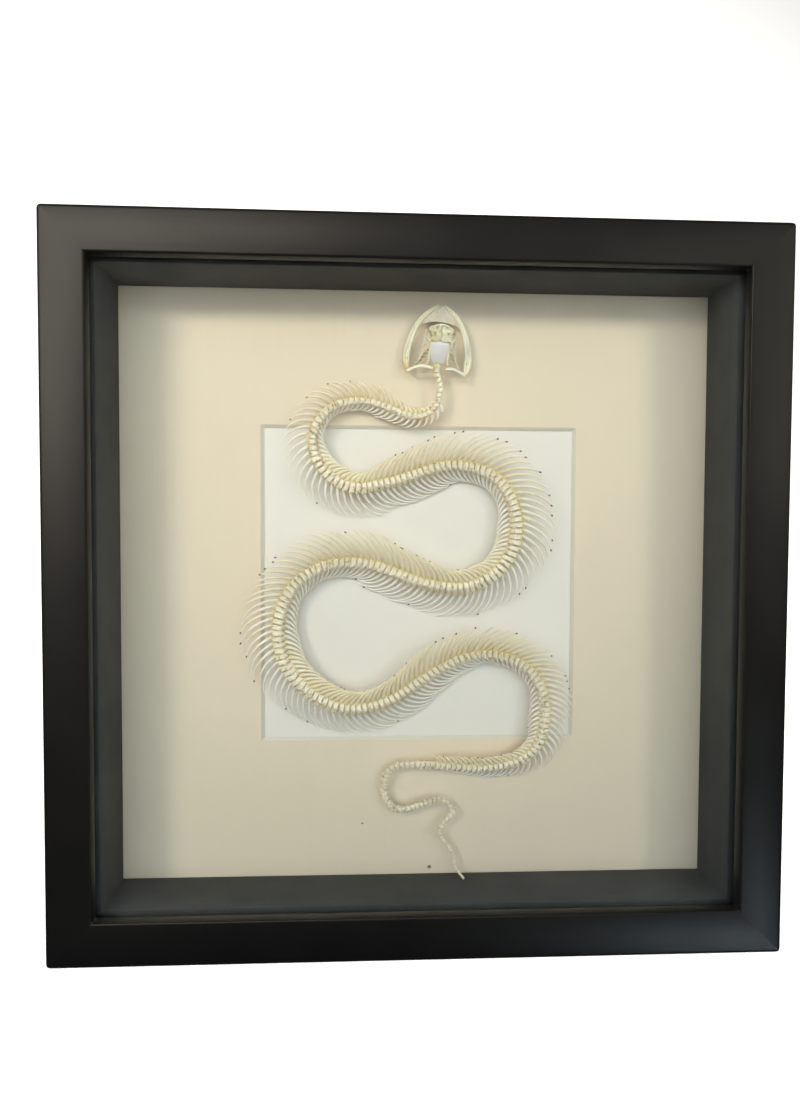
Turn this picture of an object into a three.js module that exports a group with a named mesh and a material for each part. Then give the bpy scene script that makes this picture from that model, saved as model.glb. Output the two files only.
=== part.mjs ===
// A snake skeleton set out on a cut mat in a glazed wooden shadow box.
// Millimetres, +Z up. The glass faces -Y and the box stands on its lower edge,
// with the origin in the middle of that edge.
import * as THREE from "three";

// ---------------------------------------------------------------- dimensions

const BOX = { side: 330, depth: 54, face: 20, wall: 12.5, lip: 6.3, edge: 0.8 };
const GAP = 0.3; // clearance between two pieces that touch
const GLASS = { thickness: 2 };
const LINER = { inside: 291, thickness: 6.5, front: 12.6 };
const MAT = { front: 42.5, thickness: 1.5, window: 154, windowRise: 1.3, windowShift: 1 };
const BOARD = { thickness: 3 };
const TAB = { length: 14, width: 9, thickness: 0.8 };
const HANGER = { width: 45, height: 9, thickness: 1.2, teeth: 9, tooth: 1.6, drop: 34 };

// The way the backbone lies on the mat, from the neck to the tip of the tail: [x, z].
const ROUTE = [
  [8.5, 269], [10, 261], [6.5, 251.5], [-4, 248.5], [-25.5, 255], [-42, 252],
  [-51, 239], [-47, 223.5], [-32.5, 214], [-13, 216.5], [13.5, 224.5], [33, 221.5],
  [45, 209], [47.5, 190], [39.5, 174], [23, 165.5], [2, 167.5], [-24, 176.5],
  [-44.5, 176], [-60.5, 165.5], [-67.5, 148], [-64.5, 128.5], [-51.5, 113], [-33.5, 106],
  [-13.5, 110], [11, 125.5], [30.5, 132.5], [49.5, 128.5], [61, 115.5], [62.5, 95],
  [54.5, 81.5], [35.5, 75.5], [6.5, 77], [-12, 76], [-16.5, 64], [-8.5, 55],
  [10, 59.5], [18, 54.5], [11, 44], [16.4, 35.5], [18.3, 30.5], [19, 26.5], [23.5, 20],
];
const NECK_LENGTH = 56;
const TRUNK_PARTS = 5;
const TAIL_LENGTH = 112;
const TAIL_PARTS = ["tail_base", "tail_tip"];

// Each row is [distance along the body in parts of its whole length, value].
const PITCH = [[0, 2.9], [0.12, 3.5], [0.6, 3.55], [0.83, 3], [1, 2]];
const GIRTH = [
  [0, 0.5], [0.06, 0.58], [0.14, 0.86], [0.3, 1], [0.62, 1], [0.84, 0.72], [0.906, 0.62], [0.95, 0.48],
  [0.972, 0.3], [1, 0.22],
];
const RIB_LENGTH = [
  [0, 0], [0.02, 3.5], [0.07, 9], [0.14, 14], [0.25, 16], [0.55, 16], [0.66, 14.5], [0.78, 9], [0.84, 4],
  [0.845, 0],
];
const HEIGHT = [[0, 9], [0.7, 9], [0.86, 6.5], [1, 8]];

// Outline of one vertebra at full girth: half width, top of its spine, depth below the middle.
const VERTEBRA = { wide: [3.4, 3.4, 2.0], waist: [2.3, 2.1, 1.6], waistAt: 0.36 };
const CAUDAL = { wide: [3.1, 2.6, 2.2], waist: [2.1, 2.0, 1.7], waistAt: 0.4 };
const LEAN = { down: 0.8, inward: 0.25 }; // how far the back leans from facing the glass
const BEND = { radius: 24, reach: 8 }; // a tight bend, and how far along the body it is felt
// A rib's middle and tip: [towards the tail, sideways, backwards] in parts of its length.
const RIB = { root: 2.1, radius: 0.45, middle: [0.25, 0.6, 0.02], tip: [0.82, 0.84, -0.15], inner: 0.65, least: 0.45 };
const RIB_REST = { height: 0.8, spread: 0.5 }; // how high the tips lie, and how they spread on the mat

// The skull: its hinge on the neck, and how far the mouth is tipped open.
const SKULL = { x: 8.4, z: 271, pitch: 38, turn: 4.5, headForward: 2.4 };
const CRANIUM = [ // [forward, half width, top, bottom]
  [0, 2.2, 1.6, 1.0], [2.6, 3.4, 3.0, 1.5], [7.5, 4.5, 3.8, 1.9], [11.2, 4.7, 3.6, 1.9],
  [12.6, 5.9, 3.2, 1.5], [14.6, 4.3, 2.9, 1.1], [17.2, 5.5, 2.7, 1.1],
];
const SNOUT = [
  [17.5, 4.9, 2.6, 1.0], [19.4, 4.4, 2.1, 1.0], [21, 3.1, 1.5, 0.9], [22, 1.4, 0.8, 0.7],
];
// Points along the middle of each bone of one side: [half width, forward, rise].
const MANDIBLE = [[14.2, -2, -3], [14.9, 6.8, -4], [12.4, 18, -3.6], [8.2, 25.6, -2.2], [1.8, 30.9, -1.2]];
const QUADRATE = [[5.2, -0.9, 1.6], [8.6, -0.5, 0.7], [12.4, -1.6, -0.8]];
const PTERYGOID = [[2.4, 10.8, 3.4], [5, 7.7, 0.9], [8.4, 4.1, -1.3], [11.2, 1.1, -2.8]];
const ECTOPTERYGOID = [[6.9, 9.8, 4.6], [7.4, 8.0, 2.6], [7.6, 6.4, 1.0]];
// These two lie on the head, and tip with it.
const SUPRATEMPORAL = [[5.1, 8.2, 1.9], [5.1, 5.4, 2.2], [5.1, 2.5, 2.3]];
const MAXILLA = [[6.8, 12.8, -2.4], [6.5, 16.2, -2.3], [5.0, 19.8, -1.9]];
const TOOTH = { length: 1.3, lean: 0.35, mandible: 8 };
const MANDIBLE_STEPS = 15;
const CHIN = { width: 6.2, back: 25.8, front: 30.1, thickness: 0.6, rise: -1.7 };

// ------------------------------------------------------------------ helpers

const toRadians = THREE.MathUtils.degToRad;
const GLASS_SIDE = new THREE.Vector3(0, -1, 0);
const DOWN = new THREE.Vector3(0, 0, -1);
const frontY = (distanceBehindFace) => distanceBehindFace - BOX.depth / 2;

// The value at t of a list of [t, value] rows: straight lines between them, level past the ends.
function along(rows, t) {
  const next = rows.findIndex(([at]) => at > t);
  if (next < 1) return rows.at(next)[1];
  const [fromT, from] = rows[next - 1];
  const [toT, to] = rows[next];
  return THREE.MathUtils.mapLinear(t, fromT, toT, from, to);
}

// A closed body put together from rings of points.
class Solid {
  points = [];
  faces = [];

  ring(points) {
    return points.map((point) => this.points.push(point) - 1);
  }

  // Two triangles for each side of two rings with equally many points.
  band(from, to) {
    const first = this.faces.length;
    from.forEach((a, i) => {
      const j = (i + 1) % from.length;
      this.faces.push([a, from[j], to[j]], [a, to[j], to[i]]);
    });
    return first;
  }

  cap(ring) {
    for (let i = 1; i < ring.length - 1; i++) this.faces.push([ring[0], ring[i], ring[i + 1]]);
  }

  // A body through all the rings, closed at both ends.
  loft(rings) {
    const indices = rings.map((points) => this.ring(points));
    this.cap([...indices[0]].reverse());
    const bands = indices.slice(1).map((ring, i) => this.band(indices[i], ring));
    this.cap(indices.at(-1));
    return bands;
  }

  // A spike that grows out of one triangle, through the stations, to a point.
  grow(face, stations, tip) {
    let ring = this.faces[face];
    for (const { centre, towards, radius } of stations) {
      const next = this.ring(this.triangleAround(ring, centre, towards, radius));
      this.band(ring, next);
      ring = next;
    }
    const end = this.points.push(tip) - 1;
    this.faces.push([ring[1], ring[2], end], [ring[2], ring[0], end]);
    this.faces[face] = [ring[0], ring[1], end];
  }

  // Three points round a centre, turned to match the corners of a ring of three.
  triangleAround(ring, centre, towards, radius) {
    const [a, b, c] = ring.map((index) => this.points[index]);
    const middle = a.clone().add(b).add(c).divideScalar(3);
    const arm = a.clone().sub(middle).projectOnPlane(towards).setLength(radius);
    const facing = b.clone().sub(a).cross(c.clone().sub(a)).dot(towards);
    const third = Math.sign(facing) * toRadians(120);
    return [0, third, 2 * third].map((turn) => arm.clone().applyAxisAngle(towards, turn).add(centre));
  }

  volume() {
    const total = this.faces.reduce((sum, [a, b, c]) => {
      const [p, q, r] = [this.points[a], this.points[b], this.points[c]];
      return sum + p.dot(q.clone().cross(r));
    }, 0);
    return total / 6;
  }

  geometry() {
    const outward = this.volume() > 0;
    const geometry = new THREE.BufferGeometry().setFromPoints(this.points);
    geometry.setIndex(this.faces.flatMap(([a, b, c]) => (outward ? [a, b, c] : [a, c, b])));
    geometry.computeVertexNormals();
    return geometry;
  }
}

const object = new THREE.Group();

function addPiece(name, geometry, finish, parent = object) {
  const mesh = new THREE.Mesh(geometry, new THREE.MeshStandardMaterial(finish));
  mesh.name = name;
  parent.add(mesh);
  return mesh;
}

// ------------------------------------------------------------------ the box

const BLACK_WOOD = { color: 0x1a1918, roughness: 0.42, metalness: 0 };
const CLEAR_GLASS = { color: 0xdfe8e6, roughness: 0.05, metalness: 0, transparent: true, opacity: 0.15 };
const GREY_PAPER = { color: 0x3c3d3f, roughness: 0.95, metalness: 0 };
const CREAM_MAT = { color: 0xd8c8a8, roughness: 0.95, metalness: 0 };
const WHITE_BOARD = { color: 0xe2ded4, roughness: 0.9, metalness: 0 };
const BROWN_BOARD = { color: 0x6b4a2e, roughness: 0.85, metalness: 0 };
const BRIGHT_STEEL = { color: 0x9a9a98, roughness: 0.35, metalness: 1 };

const middleOfBox = new THREE.Group();
middleOfBox.position.z = BOX.side / 2;
object.add(middleOfBox);

// One side of a square frame, mitred at both ends. The section is [inset from the outer edge, y].
function mitredRail(section, side) {
  const half = side / 2;
  const endRing = (end) => section.map(([inset, y]) => {
    const reach = half - inset - GAP / 2;
    return new THREE.Vector3(end * reach, y, inset - half);
  });
  const outline = section.map(([inset, y]) => new THREE.Vector2(inset, y));
  const solid = new Solid();
  const start = solid.ring(endRing(-1));
  const end = solid.ring(endRing(1));
  solid.band(start, end);
  const clockwise = THREE.ShapeUtils.isClockWise(outline);
  for (const [a, b, c] of THREE.ShapeUtils.triangulateShape(outline, [])) {
    const corners = clockwise ? [c, b, a] : [a, b, c];
    solid.faces.push(corners.map((i) => end[i]), corners.map((i) => start[i]).reverse());
  }
  return solid.geometry();
}

function addFourSides(prefix, section, side, finish) {
  ["bottom", "left", "top", "right"].forEach((name, quarter) => {
    const rail = addPiece(`${prefix}_${name}`, mitredRail(section, side), finish, middleOfBox);
    rail.rotation.y = quarter * toRadians(90);
  });
}

function addFrame() {
  const { side, depth, face, wall, lip, edge } = BOX;
  const section = [
    [edge, 0], [face - edge, 0], [face, edge], [face, lip], [wall, lip], [wall, depth],
    [edge, depth], [0, depth - edge], [0, edge],
  ];
  addFourSides("rail", section.map(([inset, y]) => [inset, frontY(y)]), side, BLACK_WOOD);
}

function addLiner() {
  const near = frontY(LINER.front);
  const far = frontY(MAT.front - GAP);
  const { thickness } = LINER;
  const section = [[0, near], [thickness, near], [thickness, far], [0, far]];
  addFourSides("liner", section, LINER.inside + 2 * thickness, GREY_PAPER);
}

const sheetSide = BOX.side - 2 * BOX.wall - 2 * GAP;

function addSheet(name, side, thickness, front, finish) {
  const sheet = addPiece(name, new THREE.BoxGeometry(side, thickness, side), finish, middleOfBox);
  sheet.position.y = frontY(front + thickness / 2);
}

// The mat: a square sheet with a square window, cut on a slant so that its edge shows.
function addMat() {
  const square = (side, y, shift = 0, rise = 0) => [[-1, -1], [1, -1], [1, 1], [-1, 1]].map(
    ([u, v]) => new THREE.Vector3(shift + (u * side) / 2, y, rise + (v * side) / 2));
  const front = frontY(MAT.front);
  const back = frontY(MAT.front + MAT.thickness);
  const { window, windowShift, windowRise, thickness } = MAT;
  const solid = new Solid();
  const rings = [
    square(sheetSide, front), square(sheetSide, back),
    square(window, back, windowShift, windowRise),
    square(window + 2 * thickness, front, windowShift, windowRise),
  ].map((points) => solid.ring(points));
  rings.forEach((ring, i) => solid.band(ring, rings[(i + 1) % rings.length]));
  addPiece("mat", solid.geometry(), CREAM_MAT, middleOfBox);
}

const boardFront = MAT.front + MAT.thickness + GAP;
const backboardFront = boardFront + BOARD.thickness + GAP;
const backboardBack = backboardFront + BOARD.thickness;

// Four flat points driven into the rails hold the back board in.
function addTabs() {
  const reach = (BOX.side - 2 * BOX.wall - TAB.length) / 2 - GAP;
  ["bottom", "left", "top", "right"].forEach((name, quarter) => {
    const arm = new THREE.Group();
    arm.rotation.y = quarter * toRadians(90);
    middleOfBox.add(arm);
    const tab = addPiece(`tab_${name}`, new THREE.BoxGeometry(TAB.width, TAB.thickness, TAB.length),
      BRIGHT_STEEL, arm);
    tab.position.set(0, frontY(backboardBack + GAP + TAB.thickness / 2), -reach);
  });
}

// A toothed strip on the back board hangs the box on a nail.
function addHanger() {
  const { width, height, thickness, teeth, tooth, drop } = HANGER;
  const shape = new THREE.Shape();
  shape.moveTo(-width / 2, 0).lineTo(-width / 2, height).lineTo(width / 2, height).lineTo(width / 2, 0);
  const step = (width * 0.6) / teeth;
  for (let i = 0; i < teeth; i++) {
    const x = width * 0.3 - i * step;
    shape.lineTo(x, 0).lineTo(x - step / 2, tooth);
  }
  shape.lineTo(-width * 0.3, 0);
  const geometry = new THREE.ExtrudeGeometry(shape, { depth: thickness, bevelEnabled: false });
  const hanger = addPiece("hanger", geometry, BRIGHT_STEEL, middleOfBox);
  hanger.rotation.x = toRadians(90);
  hanger.position.set(0, frontY(backboardBack + GAP + thickness), BOX.side / 2 - BOX.wall - drop);
}

addFrame();
addSheet("glass", sheetSide, GLASS.thickness, BOX.lip + GAP, CLEAR_GLASS);
addLiner();
addMat();
addSheet("window_board", sheetSide, BOARD.thickness, boardFront, WHITE_BOARD);
addSheet("backboard", sheetSide, BOARD.thickness, backboardFront, BROWN_BOARD);
addTabs();
addHanger();

// ----------------------------------------------------------- the backbone

const BONE = { color: 0xe3d4ac, roughness: 0.55, metalness: 0 };
const YELLOW_BONE = { color: 0xd0ae63, roughness: 0.5, metalness: 0 };
const PALE_BONE = { color: 0xd9d3c6, roughness: 0.4, metalness: 0 };

const route = new THREE.CatmullRomCurve3(
  ROUTE.map(([x, z]) => new THREE.Vector3(x, 0, z)), false, "catmullrom", 0.5);
route.arcLengthDivisions = 4000;
const bodyLength = route.getLength();
const trunkEnd = bodyLength - TAIL_LENGTH;
const matY = frontY(MAT.front);

// Where a cross section of the body is, and which way its tail, left side and back face.
function bodyFrame(distance) {
  const t = THREE.MathUtils.clamp(distance / bodyLength, 0, 1);
  const reach = BEND.reach / bodyLength;
  const tangent = (at) => route.getTangentAt(THREE.MathUtils.clamp(at, 0, 1));
  const tail = tangent(t);
  const turned = tangent(t + reach).sub(tangent(t - reach)).projectOnPlane(tail);
  const bend = turned.multiplyScalar(BEND.radius / (2 * BEND.reach)); // 1 long in a tight bend
  const back = GLASS_SIDE.clone()
    .addScaledVector(DOWN.clone().projectOnPlane(tail), LEAN.down)
    .addScaledVector(bend, LEAN.inward)
    .normalize();
  const left = tail.clone().cross(back).normalize();
  const centre = route.getPointAt(t).setY(matY - along(HEIGHT, t));
  return { t, centre, tail, back, left, bend, girth: along(GIRTH, t) };
}

// A point of a cross section: so far to the left and so far to the back.
function place(frame, leftwards, backwards, tailwards = 0) {
  return frame.centre.clone()
    .addScaledVector(frame.left, leftwards)
    .addScaledVector(frame.back, backwards)
    .addScaledVector(frame.tail, tailwards);
}

// Distances along the body at which its vertebrae begin.
function vertebraStarts() {
  const starts = [];
  for (let at = 0; at < bodyLength - 1; at += along(PITCH, at / bodyLength)) starts.push(at);
  return starts;
}

// Half of a cross section, on one side of the middle line of the body.
function halfRing(distance, [halfWidth, top, bottom], side) {
  const frame = bodyFrame(distance);
  const { girth } = frame;
  const edge = (side * GAP) / 2;
  return [
    place(frame, edge, -bottom * girth),
    place(frame, side * halfWidth * girth, 0),
    place(frame, edge, top * girth),
  ];
}

function wholeRing(distance, [halfWidth, top, bottom]) {
  const frame = bodyFrame(distance);
  const { girth } = frame;
  return [
    place(frame, 0, -bottom * girth),
    place(frame, halfWidth * girth, 0),
    place(frame, 0, top * girth),
    place(frame, -halfWidth * girth, 0),
  ];
}

// A rib leaves the side of its vertebra, curves towards the tail and lies down on the mat.
function growRib(solid, face, distance, side) {
  const frame = bodyFrame(distance);
  const outward = frame.left.clone().multiplyScalar(side);
  const inward = frame.bend.dot(outward);
  const length = along(RIB_LENGTH, frame.t) * THREE.MathUtils.clamp(1 - RIB.inner * inward, RIB.least, 1);
  const root = RIB.root * frame.girth;
  const at = ([tailwards, sideways, backwards]) => {
    const point = place(frame, side * (root + sideways * length), backwards * length, tailwards * length);
    const sunk = Math.max(0, point.y - (matY - RIB_REST.height));
    point.addScaledVector(outward, sunk * RIB_REST.spread);
    point.y = Math.min(point.y, matY - RIB_REST.height);
    return point;
  };
  const centre = at(RIB.middle);
  const tip = at(RIB.tip);
  const towards = centre.clone().sub(frame.centre).normalize();
  solid.grow(face, [{ centre, towards, radius: RIB.radius }], tip);
}

// One side of a length of the body, with the ribs of that side.
function halfLength(starts, end, side) {
  const { wide, waist, waistAt } = VERTEBRA;
  const rings = starts.flatMap((at, i) => {
    const pitch = (starts[i + 1] ?? end) - at;
    return [halfRing(at, wide, side), halfRing(at + pitch * waistAt, waist, side)];
  });
  rings.push(halfRing(end - GAP, waist, side));
  const solid = new Solid();
  const bands = solid.loft(rings);
  starts.forEach((at, i) => {
    if (along(RIB_LENGTH, at / bodyLength) > 3) growRib(solid, bands[2 * i], at, side);
  });
  return solid.geometry();
}

function tailLength(starts, end) {
  const { wide, waist, waistAt } = CAUDAL;
  const rings = starts.flatMap((at, i) => {
    const pitch = (starts[i + 1] ?? end) - at;
    return [wholeRing(at, wide), wholeRing(at + pitch * waistAt, waist)];
  });
  rings.push(wholeRing(end - GAP, waist));
  const solid = new Solid();
  solid.loft(rings);
  return solid.geometry();
}

function addBody() {
  const starts = vertebraStarts();
  const trunkPart = (trunkEnd - NECK_LENGTH) / TRUNK_PARTS;
  const cuts = [0, NECK_LENGTH];
  const names = ["neck"];
  for (let i = 1; i <= TRUNK_PARTS; i++) {
    names.push(`trunk_${i}`);
    cuts.push(NECK_LENGTH + i * trunkPart);
  }
  TAIL_PARTS.forEach((name, i) => {
    names.push(name);
    cuts.push(trunkEnd + ((i + 1) * TAIL_LENGTH) / TAIL_PARTS.length);
  });
  names.forEach((name, i) => {
    const inside = starts.filter((at) => at >= cuts[i] && at < cuts[i + 1]);
    const end = starts.find((at) => at >= cuts[i + 1]) ?? bodyLength;
    if (TAIL_PARTS.includes(name)) {
      addPiece(name, tailLength(inside, end), YELLOW_BONE);
    } else {
      addPiece(`${name}_left`, halfLength(inside, end, 1), BONE);
      addPiece(`${name}_right`, halfLength(inside, end, -1), BONE);
    }
  });
}

addBody();

// --------------------------------------------------------------- the skull

const skull = new THREE.Group();
skull.position.set(SKULL.x, matY - HEIGHT[0][1], SKULL.z);
skull.rotation.y = toRadians(SKULL.turn);
object.add(skull);
const head = new THREE.Group(); // the braincase and snout, tipped up towards the glass
head.rotation.x = toRadians(SKULL.pitch);
head.position.z = SKULL.headForward;
skull.add(head);

// Rounded sections across the length of the head.
function headPiece(name, sections, finish) {
  const sides = 10;
  const rings = sections.map(([forward, halfWidth, top, bottom]) => Array.from({ length: sides }, (_, i) => {
    const turn = toRadians((360 * i) / sides);
    const rise = Math.cos(turn) > 0 ? top : bottom;
    return new THREE.Vector3(halfWidth * Math.sin(turn), -rise * Math.cos(turn), forward);
  }));
  const solid = new Solid();
  solid.loft(rings);
  addPiece(name, solid.geometry(), finish, head);
}

// A bone with rounded sections along a curve of [half width, forward, rise] points, on one side.
function barBone(points, side, widthAt, heightAt, steps) {
  const curve = new THREE.CatmullRomCurve3(
    points.map(([x, forward, rise]) => new THREE.Vector3(side * x, -rise, forward)));
  const sides = 6;
  const rings = Array.from({ length: steps + 1 }, (_, i) => {
    const t = i / steps;
    const centre = curve.getPointAt(t);
    const heading = curve.getTangentAt(t);
    const across = heading.clone().cross(GLASS_SIDE).normalize();
    const upwards = across.clone().cross(heading).normalize();
    return Array.from({ length: sides }, (_, k) => {
      const turn = toRadians((360 * k) / sides);
      return centre.clone()
        .addScaledVector(across, widthAt(t) * Math.cos(turn))
        .addScaledVector(upwards, heightAt(t) * Math.sin(turn));
    });
  });
  const solid = new Solid();
  const bands = solid.loft(rings);
  return { solid, bands };
}

// Teeth stand on the inner upper edge of a jaw bone, one to each band of it at the front.
function growTeeth({ solid, bands }, count, side) {
  const innerEdge = side > 0 ? 2 : 0;
  bands.slice(-count).forEach((band) => {
    const face = band + 2 * innerEdge;
    const [a, b, c] = solid.faces[face].map((index) => solid.points[index]);
    const tip = a.clone().add(b).add(c).divideScalar(3).addScaledVector(GLASS_SIDE, TOOTH.length);
    tip.z -= TOOTH.length * TOOTH.lean;
    solid.grow(face, [], tip);
  });
}

const taper = (rows) => (t) => along(rows, t);

function addJawSide(side, word) {
  const bone = (name, points, width, height, steps, parent = skull) => {
    const bar = barBone(points, side, taper(width), taper(height), steps);
    addPiece(`${name}_${word}`, bar.solid.geometry(), BONE, parent);
  };
  const mandible = barBone(MANDIBLE, side, taper([[0, 0.9], [0.12, 1.7], [0.35, 1.5], [0.6, 0.9], [1, 0.6]]),
    taper([[0, 0.9], [0.2, 1.8], [0.4, 1.5], [1, 0.8]]), MANDIBLE_STEPS);
  growTeeth(mandible, TOOTH.mandible, side);
  addPiece(`mandible_${word}`, mandible.solid.geometry(), BONE, skull);

  bone("maxilla", MAXILLA, [[0, 0.5], [0.5, 0.8], [1, 0.6]], [[0, 0.4], [1, 0.6]], 6, head);
  bone("supratemporal", SUPRATEMPORAL, [[0, 0.3], [0.5, 0.6], [1, 0.4]], [[0, 0.3], [1, 0.4]], 4, head);
  bone("quadrate", QUADRATE, [[0, 0.6], [0.4, 0.6], [1, 0.9]], [[0, 0.6], [1, 0.6]], 7);
  bone("pterygoid", PTERYGOID, [[0, 0.4], [0.4, 0.9], [1, 0.4]], [[0, 0.35], [1, 0.35]], 8);
  bone("ectopterygoid", ECTOPTERYGOID, [[0, 0.5], [0.5, 0.35], [1, 0.4]], [[0, 0.35], [1, 0.35]], 4);
}

// Dried gum still joins the tips of the two jaws.
function addChin() {
  const { width, back, front, thickness, rise } = CHIN;
  const shape = new THREE.Shape();
  shape.moveTo(-width, back).quadraticCurveTo(0, back - 1.5, width, back).lineTo(0.6, front).lineTo(-0.6, front);
  const geometry = new THREE.ExtrudeGeometry(shape, { depth: thickness, bevelEnabled: false, curveSegments: 5 });
  const chin = addPiece("chin", geometry, PALE_BONE, skull);
  chin.rotation.x = toRadians(90);
  chin.position.y = -rise + thickness / 2;
}

headPiece("cranium", CRANIUM, PALE_BONE);
headPiece("snout", SNOUT, YELLOW_BONE);
addJawSide(-1, "left");
addJawSide(1, "right");
addChin();

export default object;
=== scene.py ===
# %% [markdown]
# # A snake skeleton in a glazed shadow box
#
# The object is a mounted specimen: a small snake's bones, laid out in bends on a cut mat, behind glass
# in a deep black frame. It is 33 cm square. This lesson builds it piece by piece: first the camera and
# the light, then the box from the outside in, and last the bones. The measured model that comes with it
# says where each piece is, and most new pieces here take the place of one or more pieces of that model.

# %% Load the measured model
import math
import random
from bisect import bisect_left

import bmesh
import bpy
from mathutils import Euler, Matrix, Vector, noise


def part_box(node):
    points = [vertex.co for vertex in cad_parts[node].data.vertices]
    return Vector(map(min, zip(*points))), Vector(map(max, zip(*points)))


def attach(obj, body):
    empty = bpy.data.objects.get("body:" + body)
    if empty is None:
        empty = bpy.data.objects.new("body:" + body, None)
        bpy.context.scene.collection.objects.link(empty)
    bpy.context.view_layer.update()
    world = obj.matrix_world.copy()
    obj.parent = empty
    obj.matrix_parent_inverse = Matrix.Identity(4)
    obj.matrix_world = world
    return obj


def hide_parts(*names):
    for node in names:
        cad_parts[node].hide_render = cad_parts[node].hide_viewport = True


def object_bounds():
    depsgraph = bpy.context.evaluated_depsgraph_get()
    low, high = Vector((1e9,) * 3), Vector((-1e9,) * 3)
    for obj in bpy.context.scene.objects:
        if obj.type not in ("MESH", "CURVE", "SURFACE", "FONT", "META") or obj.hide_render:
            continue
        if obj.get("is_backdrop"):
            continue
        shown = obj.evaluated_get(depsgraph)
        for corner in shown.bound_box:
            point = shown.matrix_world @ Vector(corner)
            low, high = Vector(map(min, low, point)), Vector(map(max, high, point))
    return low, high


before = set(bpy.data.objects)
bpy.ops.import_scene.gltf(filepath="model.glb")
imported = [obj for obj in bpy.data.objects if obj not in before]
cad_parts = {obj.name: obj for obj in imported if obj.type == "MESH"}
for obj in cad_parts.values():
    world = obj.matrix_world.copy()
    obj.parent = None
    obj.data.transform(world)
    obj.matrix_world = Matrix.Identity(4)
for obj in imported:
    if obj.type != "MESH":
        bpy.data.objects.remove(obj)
measured_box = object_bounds()
print("the measured model has", len(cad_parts), "pieces")
print("its box, in metres:", [round(side, 3) for side in measured_box[1] - measured_box[0]])

# %% [markdown]
# ## Sizes
#
# Everything below is in metres, with Z up and the glass facing -Y. Bones are easier to think of in
# millimetres, so one helper turns millimetres into a point. The sizes that several pieces of the box
# share are named here, and agree with the measured model.

# %% Sizes of the box
MM = 0.001


def mm(x, y, z):
    return Vector((x, y, z)) * MM


SIDE = 330 * MM  # of the whole box
FRONT = -27 * MM  # where the face of the frame is
BACK = 27 * MM
MIDDLE = Vector((0, 0, SIDE / 2))
FACE_WIDTH = 20 * MM
WALL = 12.5 * MM
LIP_DEPTH = 6.3 * MM
LINER_FRONT = FRONT + 12.6 * MM
LINER_INSIDE = 291 * MM
LINER_THICKNESS = 6.5 * MM
MAT_FRONT = FRONT + 42.5 * MM
MAT_THICKNESS = 1.5 * MM
WINDOW = 154 * MM
WINDOW_CENTRE = Vector((1, 0, 1.3)) * MM
print("the mat lies", round((MAT_FRONT - FRONT) / MM, 1), "mm behind the face of the frame")

# %% [markdown]
# ## The camera
#
# The camera stands close, 30 cm in front of the frame, a little left of the middle and a little above it,
# and looks slightly down and turned. A close camera shows the inside walls of a deep box, which is what
# makes a shadow box read as deep.

# %% Place the camera
FOCAL_SHARE = 693 / 1120  # the focal length in parts of the picture's long side
SENSOR = 36


def link(name, data):
    """An object of that data, put in the scene."""
    made = bpy.data.objects.new(name, data)
    bpy.context.scene.collection.objects.link(made)
    return made


camera_data = bpy.data.cameras.new("camera")
camera_data.sensor_width = SENSOR
camera_data.lens = SENSOR * FOCAL_SHARE
camera_data.clip_start = 10 * MM
camera = link("camera", camera_data)
CAMERA_PLACE = mm(-24.2, -329.8, 189.8)
CAMERA_TURN = Euler([math.radians(angle) for angle in (-1.91, -0.25, -2.58)], "XYZ")
LOOK_ALONG_Y = Matrix.Rotation(math.radians(90), 3, "X")
turned = (CAMERA_TURN.to_matrix() @ LOOK_ALONG_Y).to_4x4()
camera.matrix_world = Matrix.Translation(CAMERA_PLACE) @ turned
bpy.context.scene.camera = camera
print("the lens is", round(camera_data.lens, 1), "mm")

# %% [markdown]
# ## Light and floor
#
# Two long, low soft boxes stand in front, high on the left and on the right. Being long, they soften
# shadows sideways. Being low, they leave a crisp edge under the top rail. They reach the bones through
# the glass, so every rib throws two faint shadows on the mat. Two big, cool fill lights lighten them, one
# from above and one from behind the camera. Each light's power is worked out from the brightness that it
# should give what it is aimed at, with the inverse square of its distance, so that the lights can be
# moved without another guess.
#
# Glass and satin paint also mirror their surroundings. The big fills would show as white patches in the
# glass, so they are hidden from mirror rays, as a polarising filter does. Each soft box is split in two
# for the same reason: only its lamp part is mirrored, by the paint near the upper corners. Two panels
# that are only mirrored add a sheen along the top rail and a cool one low on the right. The last three
# light the back of the box, so that it can be looked at too, the floor and the backdrop.

# %% Lights
def soft_light(name, place, aim, size, brightness, colour, lights, mirrored):
    """An area light that gives a white surface at aim, facing it, that brightness."""
    data = bpy.data.lights.new(name, "AREA")
    data.shape = "RECTANGLE"
    data.size, data.size_y = size
    beam = Vector(aim) - Vector(place)
    distance = beam.length
    data.energy = brightness * math.pi ** 2 * distance ** 2
    data.color = colour
    light = link(name, data)
    light.location = place
    light.rotation_euler = beam.to_track_quat("-Z", "Y").to_euler()
    light.visible_camera = False
    light.visible_diffuse = lights
    light.visible_glossy = mirrored
    return light


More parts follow.
